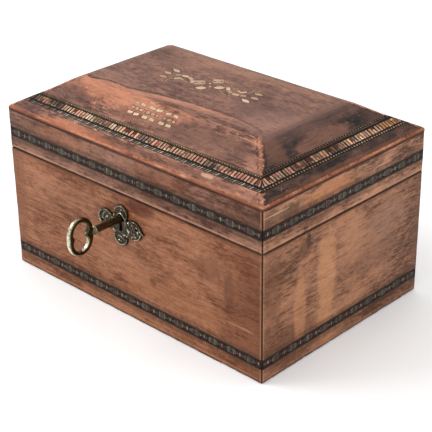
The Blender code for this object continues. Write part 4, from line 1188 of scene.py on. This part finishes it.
        # A second dotted row above the strip, let into the slope itself and kept short of the hips.
        reach = side_length(side) / 2 - 0.49 * INSET_Y - 0.8
        quad(-reach, reach, v1 + 0.35, v1 + 1.75, 0.0, PITCH, 0.03, 0.02)
        u = -reach + 0.6
        while u < reach - 1.6:
            k = glow(u)
            quad(u, u + 1.1, v1 + 0.6, v1 + 1.5, 0.0, tuple(c * k for c in vary(rng, tone(136, 116, 98), 0.25)), 0.06, 0.04)
            u += 2.5
        edges = ((v1 - 0.4, 0.32, tone(132, 108, 88)), (v0 + 0.1, 0.26, tone(140, 110, 88)))
    # Thin light lines, in lengths.
    for level, thick, tint in edges:
        u = -half + 0.3
        while u < half - 0.5:
            end = min(half - 0.3, u + rng.uniform(6, 18))
            k = glow(u) * rng.uniform(0.6, 1.05)
            quad(u + 0.1, end - 0.1, level, level + thick, 0.0, tuple(c * k for c in vary(rng, tint, 0.18)), 0.02, 0.03)
            u = end
    made = tiles.build(name, mosaic_inlay)
    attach(made, "lid")
    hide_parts(node)


rng = random.Random(17)
for side in SIDES:
    mosaic(f"inlay_mosaic_{side}", f"mosaic_{side}", side, rng)


def top_place(x, y, h):
    return (x, y, float(top_height(np.array([x]), np.array([y]))[0]) + h)


def leaf(cx, cy, length, width, degrees, points=16):
    """A pointed leaf's outline."""
    c, s = math.cos(math.radians(degrees)), math.sin(math.radians(degrees))
    outline = []
    for k in range(points):
        a = 2 * math.pi * k / points
        x = math.cos(a) * length / 2
        y = math.sin(a) * width / 2 * (1 - 0.72 * abs(math.cos(a)) ** 1.8)
        outline.append((cx + x * c - y * s, cy + x * s + y * c))
    return outline


def bar(x0, y0, x1, y1, width, taper=1.0):
    dx, dy = x1 - x0, y1 - y0
    length = math.hypot(dx, dy)
    nx, ny = -dy / length * width / 2, dx / length * width / 2
    return [(x0 - nx, y0 - ny), (x1 - nx * taper, y1 - ny * taper), (x1 + nx * taper, y1 + ny * taper), (x0 + nx, y0 + ny)]


def grow(outline, by):
    cx, cy = sum(p[0] for p in outline) / len(outline), sum(p[1] for p in outline) / len(outline)
    grown = []
    for x, y in outline:
        away = math.hypot(x - cx, y - cy) or 1.0
        grown.append((cx + (x - cx) * (1 + by / away), cy + (y - cy) * (1 + by / away)))
    return grown


motif = Tiles()
rng = random.Random(5)
IVORY, STRAW, SHADE = tone(224, 194, 160), tone(200, 163, 132), tone(164, 126, 101)
SCORCH, INK = tone(50, 36, 30), tone(66, 44, 35)


def piece(outline, tint, rim=0.5, high=0.05, shade=SCORCH):
    """A pale piece set in a darker outline."""
    motif.add(grow(outline, rim), top_place, -0.35, 0.012, shade, 0.02)
    motif.add(outline, top_place, -0.30, high, vary(rng, tint, 0.15), 0.08)


def twin(build):
    """Builds one half of the ornament and then the other half, turned about the middle."""
    for sign in (1, -1):
        build(lambda x, y, sign=sign: (-2.3 + sign * x, 1.6 + sign * y), 0 if sign > 0 else 180)


# Middle: four petals around two small squares. Two petals are barred.
for x, y in ((-1.9, 1.9), (1.7, -1.7)):
    piece([(-2.3 + x - 1.15, 1.6 + y), (-2.3 + x, 1.6 + y - 1.15), (-2.3 + x + 1.15, 1.6 + y), (-2.3 + x, 1.6 + y + 1.15)], IVORY, 0.3)
for cx, cy in ((-10.9, 0.6), (-3.0, 10.2)):
    turn = math.radians(42)
    for n in (-1, 0, 1):
        ox, oy = -n * 2.25 * math.sin(turn), n * 2.25 * math.cos(turn)
        reach = 4.1 if n == 0 else 3.4
        piece(bar(cx + ox - reach * math.cos(turn), cy + oy - reach * math.sin(turn), cx + ox + reach * math.cos(turn), cy + oy + reach * math.sin(turn), 1.9, 0.9), IVORY if n == 1 else STRAW, 0.3)
    for n in (-1.6, 1.4):
        motif.add(bar(cx + n * 1.0 - 0.6, cy + n * 1.1 + 0.6, cx + n * 1.0 + 0.6, cy + n * 1.1 - 0.6, 0.7), top_place, -0.3, 0.07, INK, 0.03)
piece(leaf(-3.4, -5.9, 8.0, 5.6, 40), IVORY, 0.7)
piece(leaf(5.3, 2.4, 8.0, 5.6, 40), IVORY, 0.7)


def half_ornament(at, turn):
    """A ribbon that swings out from the middle, with three leaves at its end."""
    def strip(points, wide, tint, rim=0.35):
        for (x0, y0), (x1, y1) in zip(points, points[1:]):
            piece(bar(*at(x0, y0), *at(x1, y1), wide), tint, rim)

    strip(((11.5, 5.0), (15.0, 1.2)), 2.6, IVORY)
    strip(((15.6, 0.9), (20.2, -1.4)), 2.7, STRAW)
    strip(((21.0, -1.5), (26.2, -0.6)), 2.7, IVORY)
    strip(((27.1, -0.4), (30.4, 1.6)), 2.4, STRAW)
    strip(((14.6, 5.9), (18.9, 6.2)), 2.0, SHADE)
    strip(((19.8, 5.9), (22.6, 3.4)), 2.0, STRAW)
    strip(((23.3, 3.0), (26.2, 6.9)), 2.4, IVORY)
    strip(((26.6, 7.6), (30.0, 8.8)), 1.9, SHADE)
    strip(((12.0, -3.8), (18.8, -5.6)), 1.0, SHADE, 0.25)
    piece(leaf(*at(22.0, -5.0), 5.0, 2.6, turn - 20), SHADE, 0.35)
    piece(leaf(*at(35.4, -4.6), 8.6, 4.0, turn - 14), IVORY, 0.7)
    piece(leaf(*at(37.0, 2.2), 8.0, 3.8, turn - 4), STRAW, 0.7)
    piece(leaf(*at(34.6, 8.9), 7.6, 3.6, turn + 6), STRAW, 0.7)
    # A small curl, in short pieces.
    for k in range(7):
        a, b = math.radians(-30 + 42 * k), math.radians(-30 + 42 * (k + 0.8))
        piece(bar(*at(29.8 + 2.5 * math.cos(a), 12.4 + 2.3 * math.sin(a)), *at(29.8 + 2.5 * math.cos(b), 12.4 + 2.3 * math.sin(b)), 0.95), SHADE if k % 2 else STRAW, 0.22)


twin(half_ornament)
made = motif.build("inlay_ribbon_and_leaves", motif_inlay)
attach(made, "lid")

# Three groups of short strokes in rows, where the front slope carries a worn inscription.
motif = Tiles()
for x0, x1 in ((-22.6, -12.6), (-9.4, 2.2), (5.4, 16.8)):
    for n, level in enumerate((-45.8, -49.4, -52.8)):
        count = (2, 3, 2)[n]
        cell = (x1 - x0 + 1.0) / count
        for k in range(count):
            xa = x0 + k * cell + rng.uniform(-0.25, 0.25) + (0.5 if n == 1 else 0.0)
            xb = xa + cell - rng.uniform(0.9, 2.1)
            lean = rng.uniform(-0.4, 0.4)
            piece(bar(xa, level - lean, xb, level + lean, rng.uniform(1.5, 2.3), rng.uniform(0.7, 1.0)), (IVORY, STRAW, IVORY)[n], 0.42)
made = motif.build("inlay_strokes", motif_inlay)
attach(made, "lid")

# ---------------------------------------------------------------- escutcheon
LOBES = ((0.0, 0.0, 8.8, 9.8), (-13.5, 0.6, 8.0, 6.6), (11.8, -0.2, 7.4, 6.8), (0.5, 8.6, 6.0, 6.0), (-0.5, -9.0, 6.2, 5.7))


def plate_reach(angle):
    """How far the plate reaches from its middle at an angle."""
    dx, dz = np.cos(angle), np.sin(angle)
    best = np.zeros_like(angle)
    for x, z, ax, az in LOBES:
        a = (dx / ax) ** 2 + (dz / az) ** 2
        b = -2 * (dx * x / ax**2 + dz * z / az**2)
        c = (x / ax) ** 2 + (z / az) ** 2 - 1
        inside = b * b - 4 * a * c
        best = np.maximum(best, np.where(inside < 0, 0, (-b + np.sqrt(np.maximum(inside, 0))) / (2 * a)))
    turn = np.abs((angle + np.pi) % (2 * np.pi) - np.pi)
    return np.maximum(best, np.where(turn < 0.6, 21.6 - 34.0 * np.abs(np.sin(turn)), 0))


HOLES = ((-17.4, -1.4, 1.35), (14.6, 1.6, 1.15), (17.4, 0.2, 0.8), (4.4, -7.4, 1.2), (-5.8, -6.4, 1.1), (-7.2, 4.9, 1.1), (6.8, 5.8, 1.2), (12.8, -4.6, 0.8))
BOSSES = ((-12.4, 1.6, 3.4, 0.8), (0.4, 10.4, 3.2, 0.7), (-1.6, -10.9, 2.8, 0.8), (8.2, -2.0, 4.2, 1.0))


def plate_mask(x, z):
    """Positive on the plate, negative outside it and in its openings, near enough in millimetres."""
    angle, r = np.arctan2(z, x), np.hypot(x, z)
    mask = (plate_reach(angle) - r) * 0.8
    round_part = np.hypot(x, z - (KEY_Z - PLATE_Z)) - 2.8
    slot = np.maximum(np.abs(x) - 1.3, np.maximum(-4.0 - z, z - 5.0))
    mask = np.minimum(mask, np.minimum(round_part, slot))
    for cx, cz, radius in HOLES:
        mask = np.minimum(mask, np.hypot(x - cx, z - cz) - radius)
    return mask


def plate_relief(x, z):
    """Height of the plate over its back, with a rim standing proud, domed lobes and curled ridges."""
    angle, r = np.arctan2(z, x), np.hypot(x, z)
    edge = (plate_reach(angle) - r) * 0.8
    height = 0.85 + 0.25 * np.clip(edge / 1.5, 0, 1)
    height = height + 0.55 * np.exp(-(((edge - 0.75) / 0.42) ** 2)) - 0.2 * np.exp(-(((edge - 1.8) / 0.5) ** 2))
    for number, (cx, cz, radius, lift) in enumerate(BOSSES):
        q, turn = np.hypot(x - cx, z - cz), np.arctan2(z - cz, x - cx) + number * 1.9
        fade = np.clip(1.15 - q / radius, 0, 1) ** 0.5
        petals = 0.5 + 0.5 * np.cos(5 * turn + 1.1 * q)
        curl = np.cos(turn - 2.3 * q / radius * 2.2)
        height = height + lift * 0.55 * np.exp(-((q / (radius * 0.30)) ** 2)) + lift * fade * (0.45 * np.clip(curl, 0, 1) ** 2 + 0.12 * petals * np.exp(-(((q - radius * 0.7) / 0.8) ** 2))) - 0.12 * fade
    for cx, cz, radius in HOLES:
        q = np.hypot(x - cx, z - cz)
        height = height + 0.4 * np.exp(-(((q - radius - 0.45) / 0.35) ** 2))
    # Scrolls over the whole plate, as thin ridges with hollows between them.
    wave = np.sin(0.95 * r + 1.6 * np.sin(3.0 * angle + 0.4) + 0.9 * noise(np.stack([x, z, x * 0], -1).reshape(-1, 3), 4.5, 73).reshape(x.shape))
    height = height + 0.5 * np.exp(-((wave / 0.36) ** 2)) * np.clip((edge - 1.2) / 1.2, 0, 1) * np.clip((r - 4.4) / 1.2, 0, 1) - 0.14 * np.clip(edge - 1.0, 0, 1)
    around = np.hypot(x, (z - 2.0) * 0.72)
    height = height + 0.35 * np.exp(-(((around - 4.6) / 0.45) ** 2))
    curl = np.sin(3.2 * np.arctan2(z - 0.5, x + 13.5) + 1.7 * np.hypot(x + 13.5, z - 0.5))
    height = height + 0.14 * curl * np.exp(-(((x + 13.5) / 6.0) ** 2)) + 0.12 * np.sin(2.4 * np.hypot(x - 12.0, z + 0.6) + 2.0 * np.arctan2(z, x - 12)) * np.exp(-(((x - 12.0) / 6.0) ** 2))
    place = np.stack([x, z, x * 0], -1).reshape(-1, 3)
    height = height + 0.05 * noise(place, 1.7, 71).reshape(x.shape) + 0.06 * noise(place, 4.0, 72).reshape(x.shape)
    return np.clip(height, 0.6, 2.3)


def escutcheon():
    step = 0.24
    xs, zs = np.arange(-22.4, 22.5, step), np.arange(-15.6, 15.7, step)
    gx, gz = np.meshgrid(xs, zs, indexing="ij")
    centre = plate_mask(gx[:-1, :-1] + step / 2, gz[:-1, :-1] + step / 2) > 0.02
    # A cell that touches its kept neighbours only at a corner is dropped, so that the edge stays one closed line.
    for _ in range(4):
        padded = np.pad(centre, 1)
        sides = padded[2:, 1:-1].astype(int) + padded[:-2, 1:-1] + padded[1:-1, 2:] + padded[1:-1, :-2]
        centre &= sides >= 2
    used = np.zeros(gx.shape, bool)
    touch = np.zeros(gx.shape, int)
    for i, j in ((0, 0), (1, 0), (0, 1), (1, 1)):
        used[i : i + centre.shape[0], j : j + centre.shape[1]] |= centre
        touch[i : i + centre.shape[0], j : j + centre.shape[1]] += centre
    px, pz = gx.copy(), gz.copy()
    rim = used & (touch < 4)
    for _ in range(4):
        value = plate_mask(px, pz)
        dx = (plate_mask(px + 0.02, pz) - plate_mask(px - 0.02, pz)) / 0.04
        dz = (plate_mask(px, pz + 0.02) - plate_mask(px, pz - 0.02)) / 0.04
        scale = np.where(rim, value / np.maximum(dx * dx + dz * dz, 0.25), 0)
        scale = np.clip(scale, -0.12, 0.12)
        px, pz = px - dx * scale, pz - dz * scale
    ids = -np.ones(gx.shape, int)
    ids[used] = np.arange(used.sum())
    height = plate_relief(px, pz)
    height = np.where(rim, height - 0.12, height)
    x, z = px[used] + KEY_X, pz[used] + PLATE_Z
    back_y = FRONT - 0.3
    front_layer = np.stack([x, back_y - height[used], z], -1)
    back_layer = np.stack([x, np.full(len(x), back_y), z], -1)
    n = len(x)
    faces = []
    edges = {}
    for i, j in zip(*np.nonzero(centre)):
        a, b, c, d = int(ids[i, j]), int(ids[i + 1, j]), int(ids[i + 1, j + 1]), int(ids[i, j + 1])
        faces.append((a, b, c, d))
        faces.append((n + d, n + c, n + b, n + a))
        for e in ((a, b), (b, c), (c, d), (d, a)):
            if e[::-1] in edges:
                del edges[e[::-1]]
            else:
                edges[e] = True
    for a, b in edges:
        faces.append((b, a, n + a, n + b))
    made = solid("brass_escutcheon", np.concatenate([front_layer, back_layer]), faces, (plate_brass,), None, 50.0)
    wear_and_highlight = made.data.attributes.new("wear_and_highlight", "FLOAT", "POINT")
    values = np.concatenate([np.clip((height[used] - 0.7) / 1.1, 0, 1), np.zeros(n)]).astype(np.float32)
    wear_and_highlight.data.foreach_set("value", values)
    return made


plate = escutcheon()
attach(plate, "base")
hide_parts("escutcheon")

# ---------------------------------------------------------------- key
def bow_outer(angle):
    c, s = np.cos(angle), np.sin(angle)
    half = (BOW_TO - BOW_FROM) / 2
    return (np.abs(c / half) ** 2.2 + np.abs(s / BOW_HALF_HEIGHT) ** 2.2) ** (-1 / 2.2)


def bow_inner(angle):
    c, s = np.cos(angle), np.sin(angle)
    oval = 1 / np.hypot(c / 6.6, s / 9.3)
    near, far = np.arctan2(s, c), np.arctan2(-s, -c)
    return oval * 1.05 - 4.0 * np.exp(-((near / 0.44) ** 2)) - 2.1 * np.exp(-((far / 0.36) ** 2))


def key_shape():
    """Bow and shaft as closed shells, joined into one skin by a fine remesh."""
    verts, faces = [], []
    steps, section = 120, 20
    bow_y = FRONT - (BOW_FROM + BOW_TO) / 2
    for k in range(steps):
        angle = 2 * math.pi * k / steps
        outer, inner = float(bow_outer(np.array(angle))) - 0.02, float(bow_inner(np.array(angle)))
        middle, half = (outer + inner) / 2, (outer - inner) / 2
        thick = BOW_THICK / 2 * (1 + 0.05 * math.cos(2 * angle))
        for j in range(section):
            turn = 2 * math.pi * j / section
            c, s = math.cos(turn), math.sin(turn)
            c, s = math.copysign(abs(c) ** 0.66, c), math.copysign(abs(s) ** 0.66, s)
            reach = middle + half * c
            verts.append((KEY_X + thick * s, bow_y + reach * math.cos(angle), KEY_Z + reach * math.sin(angle)))
    for k in range(steps):
        for j in range(section):
            a, b = (k + 1) % steps, (j + 1) % section
            faces.append((k * section + j, a * section + j, a * section + b, k * section + b))
    bow = solid("tool", verts, faces, (key_brass,), None, 180.0)
    profile = [(-7.0, 0.0), (-7.0, 2.0), (-6.6, 2.35), (-6.0, 2.4)]
    profile += [(r, 2.4 + 0.03 * math.sin(r * 0.7)) for r in np.arange(-5.0, 22.2, 0.8)]
    profile += [(22.4, 2.42), (22.7, 2.75), (23.0, 3.1), (23.4, 3.25), (23.8, 3.15), (24.1, 2.85), (24.4, 2.55), (25.0, 2.3), (26.0, 1.9), (27.0, 1.4), (27.4, 0.0)]
    sides = 40
    verts, faces = [], []
    for reach, radius in profile:
        for j in range(sides):
            a = 2 * math.pi * j / sides
            verts.append((KEY_X + max(radius, 0.001) * math.cos(a), FRONT - reach, KEY_Z + max(radius, 0.001) * math.sin(a)))
    for k in range(len(profile) - 1):
        for j in range(sides):
            n = (j + 1) % sides
            faces.append((k * sides + j, k * sides + n, (k + 1) * sides + n, (k + 1) * sides + j))
    faces += [tuple(range(sides)), tuple((len(profile) - 1) * sides + j for j in reversed(range(sides)))]
    shaft = solid("tool", verts, faces, (key_brass,), None, 180.0)
    bit = block((KEY_X - 0.9, FRONT + 3.7, 64.0), (KEY_X + 0.9, FRONT + 6.7, KEY_Z - 1.0), 0, (key_brass,))
    for tool in (bow, shaft, bit):
        tool.select_set(False)
    work = bmesh.new()
    for tool in (bow, shaft, bit):
        work.from_mesh(tool.data)
    mesh = bpy.data.meshes.new("brass_key")
    work.to_mesh(mesh)
    work.free()
    mesh.materials.append(key_brass)
    made = bpy.data.objects.new("brass_key", mesh)
    bpy.context.scene.collection.objects.link(made)
    for tool in (bow, shaft, bit):
        bpy.data.objects.remove(tool, do_unlink=True)
    remesh = made.modifiers.new("skin", "REMESH")
    remesh.mode = "VOXEL"
    remesh.voxel_size = 0.21 * MM
    remesh.use_smooth_shade = True
    smooth = made.modifiers.new("smooth", "SMOOTH")
    smooth.factor = 0.5
    smooth.iterations = 2
    realise(made, 180.0)
    made.data.materials.clear()
    made.data.materials.append(key_brass)
    # Painted highlights: the rim of the bow, its inner edge low down, the collar and the upper side of the shaft. Where
    # the mask stays low, the brass finish darkens it as painted shade.
    co = np.empty(len(made.data.vertices) * 3)
    made.data.vertices.foreach_get("co", co)
    co = co.reshape(-1, 3) / MM
    dy, dz = co[:, 1] - bow_y, co[:, 2] - KEY_Z
    angle, r = np.arctan2(dz, dy), np.hypot(dy, dz)
    outer, inner = bow_outer(angle), bow_inner(angle)
    across = np.clip((r - inner) / np.maximum(outer - inner, 0.1), 0, 1)
    brightened = np.clip((across - 0.70) / 0.25, 0, 1) * np.clip(0.62 - 0.40 * np.cos(angle), 0, 1)
    brightened = np.maximum(brightened, np.clip((0.25 - across) / 0.2, 0, 1) * np.clip(-np.sin(angle) * 0.9 + 0.2, 0, 1))
    reach = FRONT - co[:, 1]
    on_shaft = (reach < BOW_FROM) & (np.abs(dz) < 4)
    collar = np.exp(-(((reach - 23.4) / 0.9) ** 2))
    brightened = np.where(on_shaft, np.maximum(0.72 * collar, 0.25 + 0.3 * np.clip(dz / 2.4, 0, 1)), np.maximum(brightened, 0.12))
    made.data.attributes.new("wear_and_highlight", "FLOAT", "POINT").data.foreach_set("value", brightened.astype(np.float32))
    return made


key = key_shape()
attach(key, "base")
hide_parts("key")

# ---------------------------------------------------------------- kept solids: better finish and softened edges
for node, material, width in (
    [("base_bottom_board", floor_wood, 0.5), ("lock", lock_brass, 0.25), ("strike_plate", lock_brass, 0.2)]
    + [(f"hinge_{w}_{b}_leaf", hinge_brass, 0.12) for w in ("left", "right") for b in ("base", "lid")]
    + [(f"hinge_{w}_pin", pin_steel, 0.15) for w in ("left", "right")]
):
    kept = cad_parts[node]
    kept.data.materials.clear()
    kept.data.materials.append(material)
    soften = kept.modifiers.new("soften", "BEVEL")
    soften.width = width * MM
    soften.segments = 3
    soften.limit_method = "ANGLE"
    soften.angle_limit = math.radians(40)
    soften.harden_normals = False

# ---------------------------------------------------------------- floor, light and camera
g = Graph("floor_white")
colour = g.ramp(g.noise(g.p, 220.0, 3.0, 0.5), ((0.2, (0.955, 0.955, 0.955)), (0.8, (0.975, 0.975, 0.975))))
floor_white = g.finish(colour, 0.8)
mesh = bpy.data.meshes.new("floor")
mesh.from_pydata([(-6, -6, 0), (6, -6, 0), (6, 6, 0), (-6, 6, 0)], [], [(0, 1, 2, 3)])
mesh.materials.append(floor_white)
ground = bpy.data.objects.new("floor", mesh)
bpy.context.scene.collection.objects.link(ground)
ground.location.z = -0.0003
ground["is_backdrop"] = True

world = bpy.data.worlds.new("studio")
world.use_nodes = True
world.node_tree.nodes["Background"].inputs[0].default_value = (1.0, 1.0, 1.0, 1.0)
world.node_tree.nodes["Background"].inputs[1].default_value = 1.03
bpy.context.scene.world = world


def softbox(name, place, aim, size, power, colour=(1.0, 1.0, 1.0)):
    light = bpy.data.lights.new(name, "AREA")
    light.shape = "RECTANGLE"
    light.size, light.size_y = size
    light.energy = power
    light.color = colour
    made = bpy.data.objects.new(name, light)
    made.location = place
    made.rotation_mode = "QUATERNION"
    made.rotation_quaternion = (Vector(aim) - Vector(place)).to_track_quat("-Z", "Y")
    bpy.context.scene.collection.objects.link(made)


softbox("key_light", (-0.9, -0.75, 1.15), (0, 0, 0.06), (0.9, 0.7), 11.0)
softbox("fill_light", (1.3, -0.6, 0.8), (0, 0, 0.06), (0.9, 0.9), 3.0)

camera = bpy.data.cameras.new("camera")
camera.sensor_width = 36.0
camera.lens = 108.33
camera.clip_start, camera.clip_end = 0.02, 30.0
eye = bpy.data.objects.new("camera", camera)
right, up, back = (0.7234, 0.69033, -0.01173), (-0.30573, 0.33552, 0.89104), (0.61905, -0.641, 0.45377)
eye.matrix_world = Matrix(
    (
        (right[0], up[0], back[0], 0.550332),
        (right[1], up[1], back[1], -0.566741),
        (right[2], up[2], back[2], 0.447754),
        (0, 0, 0, 1),
    )
)
bpy.context.scene.collection.objects.link(eye)
bpy.context.scene.camera = eye
bpy.context.scene.view_settings.view_transform = "Standard"

low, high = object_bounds()
{"cad": [list(CAD_BOX[0]), list(CAD_BOX[1])], "visual": [list(low), list(high)]}
